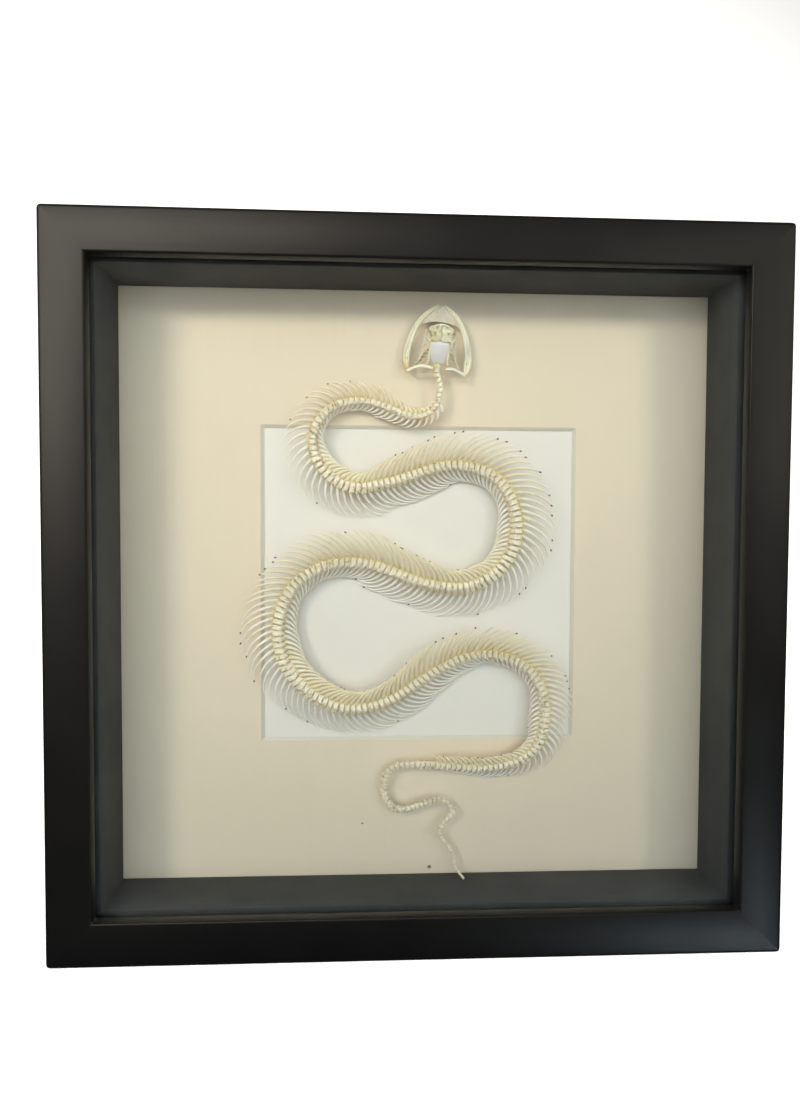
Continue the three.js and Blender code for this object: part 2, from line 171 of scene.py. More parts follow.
WARM = (1.0, 0.91, 0.77)
MILD = (1.0, 0.96, 0.88)
COOL = (0.76, 0.90, 1.0)
LEFT = (-0.75, -0.85, 0.60)
RIGHT = (0.86, -0.85, 0.60)
LONG = (0.45, 0.16)
LAMPS = [  # name, place, aim, size, brightness, colour, whether it lights, whether it is mirrored
    ("left_soft_box", LEFT, MIDDLE, LONG, 0.22, WARM, True, False),
    ("right_soft_box", RIGHT, MIDDLE, LONG, 0.34, WARM, True, False),
    ("left_lamp", LEFT, MIDDLE, LONG, 0.62, WARM, True, True),
    ("right_lamp", RIGHT, MIDDLE, LONG, 0.32, WARM, True, True),
    ("top_fill", (-0.35, -1.3, 0.95), MIDDLE, (1.6, 1.0), 0.38, COOL, True, False),
    ("front_fill", (0.1, -1.6, 0.30), MIDDLE, (2.0, 1.2), 0.84, COOL, True, False),
    ("upper_sheen", (-0.35, -0.85, 0.82), MIDDLE, (0.5, 0.2), 0.22, WARM, False, True),
    ("low_sheen", (1.0, -1.2, -1.0), MIDDLE, (0.5, 0.5), 0.14, COOL, False, True),
    ("rear_fill", (-0.6, 1.3, 0.7), MIDDLE, (0.9, 0.9), 0.40, MILD, True, False),
    ("floor_light", (0, -0.2, 2.2), (0, 0.2, 0), (2.0, 2.0), 0.75, MILD, True, False),
    ("wall_light", (0, 0.45, 1.3), (0, 2.2, 0.5), (2.8, 0.6), 1.4, MILD, True, False),
]
for lamp in LAMPS:
    soft_light(*lamp)

SKY_COLOUR = (0.62, 0.76, 1.0, 1)
SKY_STRENGTH = 0.035
world = bpy.data.worlds.new("dim_sky")
world.use_nodes = True
sky = world.node_tree.nodes["Background"].inputs
sky["Color"].default_value = SKY_COLOUR
sky["Strength"].default_value = SKY_STRENGTH
bpy.context.scene.world = world
bpy.context.scene.view_settings.view_transform = "Standard"
print("lights:", len(LAMPS))

# %% [markdown]
# ## Helpers for finishes
#
# A finish is a material made of nodes. Writing node sums by hand is slow, so a small class wraps an
# output socket: adding or multiplying two of them adds a Math node. Any other node is made by one
# method, which takes its settings first and then what goes into its sockets. Sockets go by name, or by
# number on nodes that have several of one name.

# %% Nodes as sums
class Socket:
    """An output of a node. Sums with it add Math nodes to its finish."""

    def __init__(self, finish, output):
        self.finish = finish
        self.output = output

    def math(self, operation, *values):
        return self.finish.node("ShaderNodeMath", {"operation": operation}, values)

    def __add__(self, other):
        return self.math("ADD", self, other)

    def __sub__(self, other):
        return self.math("SUBTRACT", self, other)

    def __rsub__(self, other):
        return self.math("SUBTRACT", other, self)

    def __mul__(self, other):
        return self.math("MULTIPLY", self, other)

    __radd__ = __add__
    __rmul__ = __mul__


class Finish:
    """A material with a Principled shader, whose nodes are added as they are asked for."""

    def __init__(self, name, **constants):
        self.material = bpy.data.materials.new(name)
        self.material.use_nodes = True
        self.tree = self.material.node_tree
        self.shader = self.tree.nodes["Principled BSDF"]
        for socket, value in constants.items():
            self.shader.inputs[socket.replace("_", " ")].default_value = value

    def plug(self, socket, value):
        if isinstance(value, Socket):
            self.tree.links.new(value.output, socket)
        else:
            socket.default_value = value

    def node(self, kind, settings, values, output=0):
        made = self.tree.nodes.new(kind)
        for name, value in settings.items():
            setattr(made, name, value)
        pairs = values.items() if isinstance(values, dict) else enumerate(values)
        for socket, value in pairs:
            self.plug(made.inputs[socket], value)
        return Socket(self, made.outputs[output])

    def place(self, stretch=(1, 1, 1)):
        here = self.node("ShaderNodeTexCoord", {}, {}, output="Object")
        return self.node("ShaderNodeMapping", {}, {"Vector": here, "Scale": stretch})

    def noise(self, size, detail=3, rough=0.5, stretch=(1, 1, 1)):
        """Cloudy values from 0 to 1, with blots about as wide as size."""
        values = {"Vector": self.place(stretch), "Scale": 1 / size, "Detail": detail, "Roughness": rough}
        return self.node("ShaderNodeTexNoise", {}, values)

    def specks(self, spacing, radius):
        """1 in small dots that lie about spacing apart, and 0 between them."""
        values = {"Vector": self.place(), "Scale": 1 / spacing}
        distance = self.node("ShaderNodeTexVoronoi", {}, values)
        return self.between(distance, radius / spacing, 0.5 * radius / spacing)

    def between(self, value, low, high):
        """0 at low, 1 at high, and a smooth rise from one to the other."""
        settings = {"interpolation_type": "SMOOTHSTEP"}
        return self.node("ShaderNodeMapRange", settings, {0: value, 1: low, 2: high, 3: 0.0, 4: 1.0})

    def mix(self, mask, colour, other):
        settings = {"data_type": "RGBA"}
        return self.node("ShaderNodeMix", settings, {0: mask, 6: colour, 7: other}, output=2)

    def tone(self, channel):
        """One channel of the piece's own tone attribute."""
        stored = self.node("ShaderNodeAttribute", {"attribute_name": "tone"}, {}, output="Color")
        return self.node("ShaderNodeSeparateColor", {}, [stored], output=channel)

    def colour(self, value):
        self.plug(self.shader.inputs["Base Color"], value)

    def roughness(self, value):
        self.plug(self.shader.inputs["Roughness"], value)

    def bump(self, height, depth):
        """Small relief: height is from 0 to 1, and depth is how deep a 1 is."""
        values = {"Strength": 1.0, "Distance": depth, "Height": height}
        self.plug(self.shader.inputs["Normal"], self.node("ShaderNodeBump", {}, values))


def paint(red, green, blue):
    """A screen colour from 0 to 255 as the linear colour that a shader takes."""
    def linear(value):
        share = value / 255
        return share / 12.92 if share <= 0.04045 else ((share + 0.055) / 1.055) ** 2.4

    return (linear(red), linear(green), linear(blue), 1.0)


# %% [markdown]
# ## Helpers for shapes
#
# Each piece is a mesh that is shaped by mesh operators and then finished in the same way: its normals
# are made to point outwards, flat and round parts are told apart by the angle of their edges, and the
# parts of the measured model that it stands for are hidden. A long piece is grown from a capped circle
# whose cap is extruded from station to station. Values that change along it are given as rows of
# (share of its length, value), and worked out between them.

# %% Shaping and finishing a mesh
def mesh_of(bm, name):
    """The bmesh as a mesh. The bmesh is used up."""
    mesh = bpy.data.meshes.new(name)
    bm.to_mesh(mesh)
    bm.free()
    return mesh


def finished(bm, name, finishes, stands_for, sharp=40, tidy=True):
    """Turns a bmesh into a piece of the object, in place of the measured nodes."""
    if tidy:
        bmesh.ops.recalc_face_normals(bm, faces=bm.faces)
    for face in bm.faces:
        face.smooth = True
    for edge in bm.edges:
        edge.smooth = edge.calc_face_angle(0) < math.radians(sharp)
    mesh = mesh_of(bm, name)
    for finish in finishes:
        mesh.materials.append(finish.material)
    piece = link(name, mesh)
    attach(piece, "root")
    if stands_for:
        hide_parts(*stands_for)
    return piece


def verts_of(made):
    return [part for part in made["geom"] if isinstance(part, bmesh.types.BMVert)]


def face_of(made):
    return next(part for part in made["geom"] if isinstance(part, bmesh.types.BMFace))


def sweep(bm, stations, sides, profile=None, turn=0.0):
    """A closed body through rings. A station is a matrix that puts a unit circle in its place."""
    ring = bmesh.ops.create_circle(bm, cap_ends=True, segments=sides, radius=1)["verts"]
    bmesh.ops.transform(bm, matrix=stations[0] @ Matrix.Rotation(turn, 4, "Z"), verts=ring)
    cap = ring[0].link_faces[0]
    rings = [ring]
    for before, after in zip(stations, stations[1:]):
        made = bmesh.ops.extrude_face_region(bm, geom=[cap])
        if len(rings) > 1:
            bmesh.ops.delete(bm, geom=[cap], context="FACES_ONLY")
        cap = face_of(made)
        rings.append(verts_of(made))
        bmesh.ops.transform(bm, matrix=after @ before.inverted(), verts=rings[-1])
    if profile:
        for index, (ring, station) in enumerate(zip(rings, stations)):
            share = index / (len(stations) - 1)
            back = station.inverted()
            for vert in ring:
                local = back @ vert.co
                vert.co = station @ Vector((*profile(local.x, local.y, share), 0))
    return rings


def pull(bm, near, offset, scale=(1, 1, 1)):
    """Extrudes the face nearest to a point by an offset, and scales its end."""
    face = min(bm.faces, key=lambda f: (f.calc_center_median() - near).length)
    made = bmesh.ops.extrude_face_region(bm, geom=[face])
    bmesh.ops.delete(bm, geom=[face], context="FACES_ONLY")
    verts = verts_of(made)
    centre = sum((vert.co for vert in verts), Vector()) / len(verts)
    there = Matrix.Translation(centre + offset) @ Matrix.Diagonal((*scale, 1))
    bmesh.ops.transform(bm, matrix=there @ Matrix.Translation(-centre), verts=verts)
    return verts


def clamp(value, low=0, high=1):
    return min(max(value, low), high)


def placed(centre, *columns):
    """The matrix that turns the X, Y and Z axes into the columns and moves the origin to centre."""
    return Matrix.Translation(centre) @ Matrix(columns).transposed().to_4x4()


def along(rows, t):
    """The value at t of a list of (t, value) rows: straight lines between them, level past the ends."""
    if t <= rows[0][0]:
        return rows[0][1]
    for (from_t, start), (to_t, end) in zip(rows, rows[1:]):
        if t < to_t:
            return start + (end - start) * (t - from_t) / (to_t - from_t)
    return rows[-1][1]


# %% [markdown]
# ## The pale floor
#
# A studio's sweep: a sheet that lies under the object and curves up behind it, so that no corner
# shows. It is made from one edge that is extruded backwards and then spun upwards. It is a bright sheet
# close to a dark, glazed box, so it neither shows in the glass nor throws its own light into the box.

# %% Floor and backdrop
FLOOR_HALF = 2.6
FLOOR_FRONT = -2.4
CURVE_START = 1.2
CURVE_RADIUS = 1.0
WALL_RISE = 2.0

bm = bmesh.new()
left_corner = bm.verts.new((-FLOOR_HALF, FLOOR_FRONT, 0))
right_corner = bm.verts.new((FLOOR_HALF, FLOOR_FRONT, 0))
edge = bm.edges.new((left_corner, right_corner))
made = bmesh.ops.extrude_edge_only(bm, edges=[edge])
bmesh.ops.translate(bm, vec=(0, CURVE_START - FLOOR_FRONT, 0), verts=verts_of(made))
curve_geometry = [part for part in made["geom"] if not isinstance(part, bmesh.types.BMFace)]
made = bmesh.ops.spin(bm, geom=curve_geometry, cent=(0, CURVE_START, CURVE_RADIUS), axis=(1, 0, 0),
                      angle=math.radians(90), steps=24)
top_edge = [part for part in made["geom_last"] if not isinstance(part, bmesh.types.BMFace)]
made = bmesh.ops.extrude_edge_only(
    bm, edges=[part for part in top_edge if isinstance(part, bmesh.types.BMEdge)])
bmesh.ops.translate(bm, vec=(0, 0, WALL_RISE), verts=verts_of(made))
bmesh.ops.recalc_face_normals(bm, faces=bm.faces)
for face in bm.faces:
    face.smooth = True
mesh = mesh_of(bm, "sweep")
sweep_sheet = link("sweep", mesh)
sweep_sheet.visible_glossy = False
sweep_sheet.visible_diffuse = False
floor_finish = Finish("pale_floor", Roughness=0.9, Specular_IOR_Level=0.1,
                      Emission_Color=paint(255, 255, 255), Emission_Strength=0.35)
floor_cloud = floor_finish.noise(0.4)
floor_finish.colour(floor_finish.mix(floor_cloud, paint(246, 246, 245), paint(250, 250, 249)))
mesh.materials.append(floor_finish.material)
sweep_sheet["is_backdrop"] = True
print("the sweep has", len(mesh.polygons), "faces")

# %% [markdown]
# ## The wooden frame
#
# Each rail of the frame is a moulding with an L section, mitred at 45 degrees and painted satin black.
# A square frame is the same thing as a lathe turning with only four steps: the section stands in one
# corner and is spun round the middle of the box. The outer corners and then all the long edges are
# rounded with a bevel, as sandpaper would, and two diagonal cuts part the ring into its four rails. The
# gap between two rails is a hair's width, which is how a mitre shows under paint.

# %% Rings of four sides
SIDES = ["bottom", "left", "top", "right"]
HAIRLINE = 0.005 * MM
QUARTER_TURN = math.radians(90)


def square_ring(section, side):
    """A square ring from a section of (inset from its outer edge, y) points."""
    bm = bmesh.new()
    corner = side / 2
    verts = [bm.verts.new((inset - corner, y, MIDDLE.z + inset - corner)) for inset, y in section]
    edges = [bm.edges.new((vert, verts[index - 1])) for index, vert in enumerate(verts)]
    bmesh.ops.spin(bm, geom=verts + edges, cent=MIDDLE, axis=(0, 1, 0), angle=math.tau, steps=4,
                   use_merge=True)
    bmesh.ops.recalc_face_normals(bm, faces=bm.faces)
    return bm


def ease(bm, edges, width, segments):
    bmesh.ops.bevel(bm, geom=edges, offset=width, segments=segments, profile=0.5, affect="EDGES",
                    offset_type="OFFSET", clamp_overlap=True, material=-1)


def sharp_edges(bm, angle=50):
    return [edge for edge in bm.edges if edge.calc_face_angle(0) > math.radians(angle)]


def quarter_of(ring, quarter):
    """One side of a ring, cut from it along the two mitres."""
    bm = ring.copy()
    turn = Matrix.Rotation(QUARTER_TURN * quarter, 3, "Y")
    for slant in (-1, 1):
        outwards = turn @ Vector((slant, 0, 1)).normalized()
        everything = bm.verts[:] + bm.edges[:] + bm.faces[:]
        bmesh.ops.bisect_plane(bm, geom=everything, plane_co=MIDDLE - outwards * HAIRLINE,
                               plane_no=outwards, clear_outer=True)
    bmesh.ops.holes_fill(bm, edges=[edge for edge in bm.edges if edge.is_boundary], sides=0)
    return bm


def four_sides(ring, prefix, node_prefix, finishes):
    for quarter, side in enumerate(SIDES):
        finished(quarter_of(ring, quarter), f"{prefix}_{side}", [finishes[quarter % 2]],
                 [f"{node_prefix}_{side}"], sharp=35)
    ring.free()


# %% [markdown]
# The paint is nearly black. What makes it look like painted wood is its surface: a faint grain that runs
# along each rail, the soft pebbles that a roller leaves, dust in tiny pale dots, and patches that have
# been rubbed smoother. The grain runs along the rail, so the upright rails have a finish of their own.

# %% Satin black paint
def black_paint(name, grain_stretch):
    finish = Finish(name, Specular_IOR_Level=0.42)
    rubbed = finish.noise(30 * MM, detail=4)
    dust = finish.specks(4.2 * MM, 0.13 * MM) * finish.between(finish.noise(60 * MM), 0.42, 0.62)
    scuffs = finish.between(finish.noise(5 * MM, detail=6, rough=0.7, stretch=(1, 1, 6)), 0.66, 0.74)
    bare = finish.mix(rubbed, paint(6, 6, 6), paint(10, 9, 9))
    scuffed = finish.mix(scuffs * 0.2, bare, paint(52, 50, 46))
    finish.colour(finish.mix(dust * 0.6, scuffed, paint(150, 146, 138)))
    finish.roughness(0.36 + 0.12 * rubbed + 0.25 * dust + 0.12 * scuffs)
    grain = finish.noise(1.6 * MM, detail=2, stretch=grain_stretch)
    pebbles = finish.noise(0.9 * MM, detail=2)
    finish.bump(0.6 * grain + 0.4 * pebbles + 0.5 * dust, 0.05 * MM)
    return finish


level_paint = black_paint("black_paint_level", (0.04, 1, 1))
upright_paint = black_paint("black_paint_upright", (1, 1, 0.04))

# %% Make the four rails
SECTION = [(0, FRONT), (FACE_WIDTH, FRONT), (FACE_WIDTH, FRONT + LIP_DEPTH), (WALL, FRONT + LIP_DEPTH),
           (WALL, BACK), (0, BACK)]
CORNER_RADIUS = 2.0 * MM
EDGE_RADIUS = 0.8 * MM


def at_outer_corner(vert):
    reach = SIDE / 2 - MM
    return abs(vert.co.x) > reach and abs(vert.co.z - MIDDLE.z) > reach


ring = square_ring(SECTION, SIDE)
outer_corners = [edge for edge in ring.edges if all(at_outer_corner(vert) for vert in edge.verts)]
ease(ring, outer_corners, CORNER_RADIUS, 4)
ease(ring, sharp_edges(ring), EDGE_RADIUS, 3)
four_sides(ring, "frame_rail", "rail", [level_paint, upright_paint])
print("outer corners rounded:", len(outer_corners))

# %% [markdown]
# ## The glass
#
# A pane of glass both lets light through and mirrors a little of it, more at a glancing angle. A Fresnel
# node says how much, and mixes a clear shader with a glossy one. That keeps the bones behind it well
# lit, where a full refracting shader would put the whole inside in noise. Dust is what makes the pane
# visible at all: a few dots and a thin, uneven film.

# %% Glass with dust
def glass_finish():
    finish = Finish("dusty_glass", Base_Color=paint(206, 204, 198), Roughness=0.8)
    clear = finish.node("ShaderNodeBsdfTransparent", {}, {"Color": (0.975, 0.985, 0.98, 1)})
    gloss = finish.node("ShaderNodeBsdfGlossy", {}, {"Color": (1, 1, 1, 1), "Roughness": 0.04})
    fresnel = finish.node("ShaderNodeFresnel", {}, {"IOR": 1.45})
    pane = finish.node("ShaderNodeMixShader", {}, [fresnel, clear, gloss])
    film = finish.between(finish.noise(70 * MM, detail=5), 0.45, 0.8) * 0.010
    dots = finish.specks(9 * MM, 0.16 * MM) * finish.between(finish.noise(50 * MM), 0.45, 0.6) * 0.35
    dust = Socket(finish, finish.shader.outputs[0])
    dusty = finish.node("ShaderNodeMixShader", {}, [film + dots, pane, dust])
    output = finish.tree.nodes["Material Output"]
    finish.tree.links.new(dusty.output, output.inputs["Surface"])
    return finish


def dress(node, finish):
    """Gives a piece of the measured model a finish."""
    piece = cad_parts[node]
    piece.data.materials.clear()
    piece.data.materials.append(finish.material)


dress("glass", glass_finish())

# %% [markdown]
# ## The dark liner
#
# Four strips wrapped in dark grey paper line the walls between the glass and the mat. Their front edges
# show as a band all round, because the camera is close. It is another square ring, with its edges only
# just eased, as folded paper is.

# %% Dark paper
def dark_paper():
    finish = Finish("dark_paper", Specular_IOR_Level=0.25)
    cloud = finish.noise(18 * MM, detail=5, rough=0.65)
    fibres = finish.noise(0.7 * MM, detail=3)
    lint = finish.specks(6.5 * MM, 0.22 * MM) * finish.between(finish.noise(20 * MM), 0.5, 0.62)
    paper = finish.mix(0.65 * cloud + 0.35 * fibres, paint(66, 66, 68), paint(90, 90, 90))
    finish.colour(finish.mix(lint * 0.7, paper, paint(170, 165, 155)))
    finish.roughness(0.86 - 0.1 * cloud)
    finish.bump(fibres + lint, 0.05 * MM)
    return finish


LINER_BACK = MAT_FRONT - 0.3 * MM
FOLD_RADIUS = 0.35 * MM
LINER_SECTION = [(0, LINER_FRONT), (LINER_THICKNESS, LINER_FRONT), (LINER_THICKNESS, LINER_BACK),
                 (0, LINER_BACK)]
liner_paper = dark_paper()
ring = square_ring(LINER_SECTION, LINER_INSIDE + 2 * LINER_THICKNESS)
ease(ring, sharp_edges(ring), FOLD_RADIUS, 2)
four_sides(ring, "liner_strip", "liner", [liner_paper, liner_paper])

# %% [markdown]
# ## The mat
#
# Mat board is thick paper with a pale core. Its window is cut on a slant, and the cut shows the core as
# a thin frame that catches the light on one side and lies in the shade on the other. The ring is spun
# round the middle of the box, and then the window's corners are moved, because the window isn't quite in
# the middle. Faces on the slant get the core's finish.

# %% Mat board and its core
def mat_surface():
    finish = Finish("cream_mat_surface", Specular_IOR_Level=0.15)
    tooth = finish.noise(0.55 * MM, detail=3, rough=0.6)
    laid = finish.noise(2.2 * MM, detail=2, stretch=(1, 1, 0.02))
    age = finish.noise(90 * MM, detail=4)
    flecks = finish.specks(7 * MM, 0.16 * MM) * finish.between(finish.noise(14 * MM), 0.55, 0.68)
    shade = 0.35 * tooth + 0.3 * laid + 0.35 * age
    board = finish.mix(shade, paint(226, 206, 180), paint(240, 222, 197))
    finish.colour(finish.mix(flecks * 0.5, board, paint(120, 96, 66)))
    finish.roughness(0.9 - 0.06 * tooth)
    finish.bump(0.7 * tooth + 0.3 * laid, 0.035 * MM)
    return finish


def mat_core():
    finish = Finish("mat_core", Specular_IOR_Level=0.15)
    fibres = finish.noise(0.3 * MM, detail=3)
    finish.colour(finish.mix(fibres, paint(214, 201, 180), paint(238, 230, 214)))
    finish.roughness(0.92 - 0.05 * fibres)
    finish.bump(fibres, 0.05 * MM)
    return finish


MAT_EDGE = 0.15 * MM


def make_mat():
    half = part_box("mat")[1].x
    slant = MAT_THICKNESS
    back = MAT_FRONT + MAT_THICKNESS
    inset = half - WINDOW / 2
    bm = square_ring([(0, MAT_FRONT), (inset - slant, MAT_FRONT), (inset, back), (0, back)], 2 * half)
    window_verts = [vert for vert in bm.verts if abs(vert.co.x) < half - MM]
    bmesh.ops.translate(bm, vec=WINDOW_CENTRE, verts=window_verts)
    for face in bm.faces:
        on_slant = all(vert in window_verts for vert in face.verts)
        face.material_index = 1 if on_slant else 0
    outer_edges = [edge for edge in bm.edges if not any(vert in window_verts for vert in edge.verts)]
    ease(bm, outer_edges, MAT_EDGE, 1)
    return finished(bm, "mat_with_window", [mat_surface(), mat_core()], ["mat"], sharp=20)


mat = make_mat()
print("mat:", len(mat.data.polygons), "faces, window", round(WINDOW / MM), "mm")

# %% [markdown]
# ## Boards behind the mat
#
# A white board fills the window, and a brown hardboard closes the back. Both are flat sheets whose shape
# in the measured model is already right, so they keep it and only get a finish: smooth paper that has
# greyed a little, and pressed fibres, brown with darker flecks.

# %% White board and hardboard
def white_paper():
    finish = Finish("white_paper", Specular_IOR_Level=0.2)
    wash = finish.noise(55 * MM, detail=4)
    tooth = finish.noise(0.5 * MM, detail=3)
    finish.colour(finish.mix(0.75 * wash + 0.25 * tooth, paint(232, 222, 210), paint(240, 231, 220)))
    finish.roughness(0.82 + 0.08 * tooth)
    finish.bump(tooth, 0.02 * MM)
    return finish


def hardboard():
    finish = Finish("hardboard", Specular_IOR_Level=0.3)
    fibres = finish.noise(1.4 * MM, detail=6, rough=0.7)
    long_fibres = finish.noise(2.5 * MM, detail=3, stretch=(0.25, 1, 1))
    flecks = finish.between(finish.noise(2.2 * MM, detail=4, rough=0.6), 0.6, 0.72)
    board = finish.mix(0.6 * fibres + 0.4 * long_fibres, paint(98, 68, 42), paint(142, 104, 68))
    finish.colour(finish.mix(flecks * 0.5, board, paint(60, 40, 25)))
    finish.roughness(0.62 + 0.2 * fibres)
    finish.bump(fibres, 0.12 * MM)
    return finish


dress("window_board", white_paper())
dress("backboard", hardboard())

# %% [markdown]
# ## What holds the back
#
# Four flat steel points, driven into the rails, hold the hardboard in. Each is a strip with a rounded
# tip that has been bent outwards a little so that a finger can lift it. A toothed hanger is nailed on
# near the top, its edge cut into a row of small notches for the nail in the wall.

# %% Steel points
def zinc():
    finish = Finish("bright_zinc", Metallic=1.0)
    spangle = finish.node("ShaderNodeTexVoronoi", {}, {"Vector": finish.place(), "Scale": 1 / (2.5 * MM)},
                          output="Color")
    patch = finish.node("ShaderNodeSeparateColor", {}, [spangle], output="Red")
    brushed = finish.noise(0.5 * MM, detail=3, stretch=(0.1, 1, 1))
    finish.colour(finish.mix(patch, paint(168, 169, 170), paint(202, 202, 200)))
    finish.roughness(0.28 + 0.1 * patch + 0.12 * brushed)
    finish.bump(brushed, 0.02 * MM)
    return finish


POINT_TAPER = [(-0.5, 1.0), (-0.1, 1.0), (0.1, 0.86), (0.3, 0.72), (0.42, 0.55), (0.5, 0.26)]
POINT_LIFT = 3.0 * MM
POINT_EDGE = 0.12 * MM


def flat_point(side, finish):
    """A steel point: a bar with a narrowed, rounded tip that is bent away from the board."""
    low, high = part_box(f"tab_{side}")
    size, centre = high - low, (low + high) / 2
    long_way = Vector((1, 0, 0)) if size.x > size.z else Vector((0, 0, 1))
    inwards = (MIDDLE - centre).project(long_way)
    inwards.normalize()
    across = inwards.cross(Vector((0, 1, 0)))
    length, width = max(size.x, size.z), min(size.x, size.z)
    bm = bmesh.new()
    stations = []
    for share, narrowing in POINT_TAPER:
        lift = max(0, share) ** 2 * POINT_LIFT
        spot = centre + inwards * share * length + Vector((0, lift, 0))
        half_thick = Vector((0, size.y * 0.5, 0))
        stations.append(placed(spot, across * width / 2 * narrowing, half_thick, inwards))
    square = math.radians(45)
    corner = math.sqrt(2)
    sweep(bm, stations, 4, profile=lambda x, y, share: (x * corner, y * corner), turn=square)
    ease(bm, sharp_edges(bm, 60), POINT_EDGE, 2)
    return finished(bm, f"steel_point_{side}", [finish], [f"tab_{side}"])


zinc_finish = zinc()
for side in SIDES:
    flat_point(side, zinc_finish)

# %% The toothed hanger
HANGER_TEETH = 9
TOOTH_SPAN = 0.3  # half of the toothed part, in parts of the hanger's length
TOOTH_DEPTH = 1.6 * MM
END_RADIUS = 2.2 * MM
STEEL_EDGE = 0.15 * MM
NAIL_RADIUS = 1.5 * MM
NAILS = (("left", -0.42), ("right", 0.42))


def toothed_hanger(finish):
    """A strip whose lower edge is notched, with a round end and a nail at both ends."""
    low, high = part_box("hanger")
    height = high.z - low.z
    width = high.x - low.x
    end = 0.5 * width
    step = width * 2 * TOOTH_SPAN / HANGER_TEETH
    outline = [(end, low.z), (end, high.z), (-end, high.z), (-end, low.z)]
    for index in range(HANGER_TEETH):
        x = -TOOTH_SPAN * width + index * step
        outline += [(x, low.z), (x + step / 2, low.z + TOOTH_DEPTH)]
    outline.append((TOOTH_SPAN * width, low.z))
    bm = bmesh.new()
    front = bm.faces.new([bm.verts.new((x, low.y, z)) for x, z in outline])
    made = bmesh.ops.extrude_face_region(bm, geom=[front])
    bmesh.ops.translate(bm, vec=(0, high.y - low.y, 0), verts=verts_of(made))
    bmesh.ops.recalc_face_normals(bm, faces=bm.faces)
    corners = [edge for edge in sharp_edges(bm) if abs((edge.verts[0].co - edge.verts[1].co).y) > 0.1 * MM
               and abs(edge.verts[0].co.x) > 0.98 * end]
    ease(bm, corners, END_RADIUS, 4)
    ease(bm, sharp_edges(bm, 60), STEEL_EDGE, 1)
    hanger = finished(bm, "toothed_hanger", [finish], ["hanger"])
    flattened = Matrix.Diagonal((1, 0.28, 1, 1))
    for side, x in NAILS:
        bm = bmesh.new()
        head = Matrix.Translation((x * width, high.y, low.z + height / 2)) @ flattened
        bmesh.ops.create_uvsphere(bm, u_segments=16, v_segments=8, radius=NAIL_RADIUS, matrix=head)
        finished(bm, f"hanger_nail_{side}", [finish], [])
    return hanger


toothed_hanger(zinc_finish)

# %% [markdown]
# ## The way of the backbone
#
# The whole skeleton hangs on one curve, from the neck to the tip of the tail. A smooth curve is drawn
# through listed points, and then walked along by distance, so that vertebrae come at even steps however
# the points are spaced. At every step a small frame of directions says which way the tail lies, which
# way is left, and which way the back faces. The back leans down and, in a bend, inwards.
# The route is in millimetres across and up. Height, girth and pitch are rows along the backbone.

# %% The route and its directions
ROUTE = [
    (8.5, 269), (10, 261), (6.5, 251.5), (-4, 248.5), (-25.5, 255), (-42, 252),
    (-51, 239), (-47, 223.5), (-32.5, 214), (-13, 216.5), (13.5, 224.5), (33, 221.5),
    (45, 209), (47.5, 190), (39.5, 174), (23, 165.5), (2, 167.5), (-24, 176.5),
    (-44.5, 176), (-60.5, 165.5), (-67.5, 148), (-64.5, 128.5), (-51.5, 113), (-33.5, 106),
    (-13.5, 110), (11, 125.5), (30.5, 132.5), (49.5, 128.5), (61, 115.5), (62.5, 95),
    (54.5, 81.5), (35.5, 75.5), (6.5, 77), (-12, 76), (-16.5, 64), (-8.5, 55),
    (10, 59.5), (18, 54.5), (11, 44), (16.4, 35.5), (18.3, 30.5), (19, 26.5), (23.5, 20),
]
HEIGHT = [(0, 9 * MM), (0.7, 9 * MM), (0.86, 6.5 * MM), (1, 8 * MM)]
GIRTH = [(0, 0.46), (0.06, 0.56), (0.14, 0.86), (0.3, 1), (0.62, 1), (0.84, 0.72), (0.906, 0.62),
         (0.95, 0.48), (0.972, 0.3), (1, 0.22)]
PITCH = [(0, 2.4 * MM), (0.12, 2.8 * MM), (0.6, 2.85 * MM), (0.83, 2.6 * MM), (1, 1.9 * MM)]
LEAN_DOWN, LEAN_INWARD, CREST_INWARD = 0.8, 0.25, 0.75
BEND_RADIUS, BEND_REACH = 24 * MM, 8 * MM
TO_GLASS = Vector((0, -1, 0))
DOWN = Vector((0, 0, -1))


def smooth_line(points, steps):
    """Points on a smooth curve through all the given ones, equally many between each two."""
    ends = [2 * points[0] - points[1], *points, 2 * points[-1] - points[-2]]
    line = []
    for before, start, end, after in zip(ends, ends[1:], ends[2:], ends[3:]):
        for step in range(steps):
            t = step / steps
            bow = 2 * before - 5 * start + 4 * end - after
            twist = 3 * start - before - 3 * end + after
            line.append(start + 0.5 * ((end - before) * t + bow * t ** 2 + twist * t ** 3))
    return [*line, points[-1]]


class Line:
    """A line of points that is walked along by distance."""

    def __init__(self, points):
        self.points = points
        self.marks = [0.0]
        for start, end in zip(points, points[1:]):
            self.marks.append(self.marks[-1] + (end - start).length)
        self.length = self.marks[-1]

    def point(self, distance):
        distance = clamp(distance, 0, self.length)
        index = max(1, bisect_left(self.marks, distance))
        start, end = self.marks[index - 1], self.marks[index]
        return self.points[index - 1].lerp(self.points[index], (distance - start) / (end - start))

    def heading(self, distance, reach=0.5 * MM):
        return (self.point(distance + reach) - self.point(distance - reach)).normalized()


backbone = Line(smooth_line([mm(x, 0, z) for x, z in ROUTE], 40))


def across_part(vector, axis):
    """What is left of a vector once its part along an axis is taken away."""
    return vector - vector.project(axis)


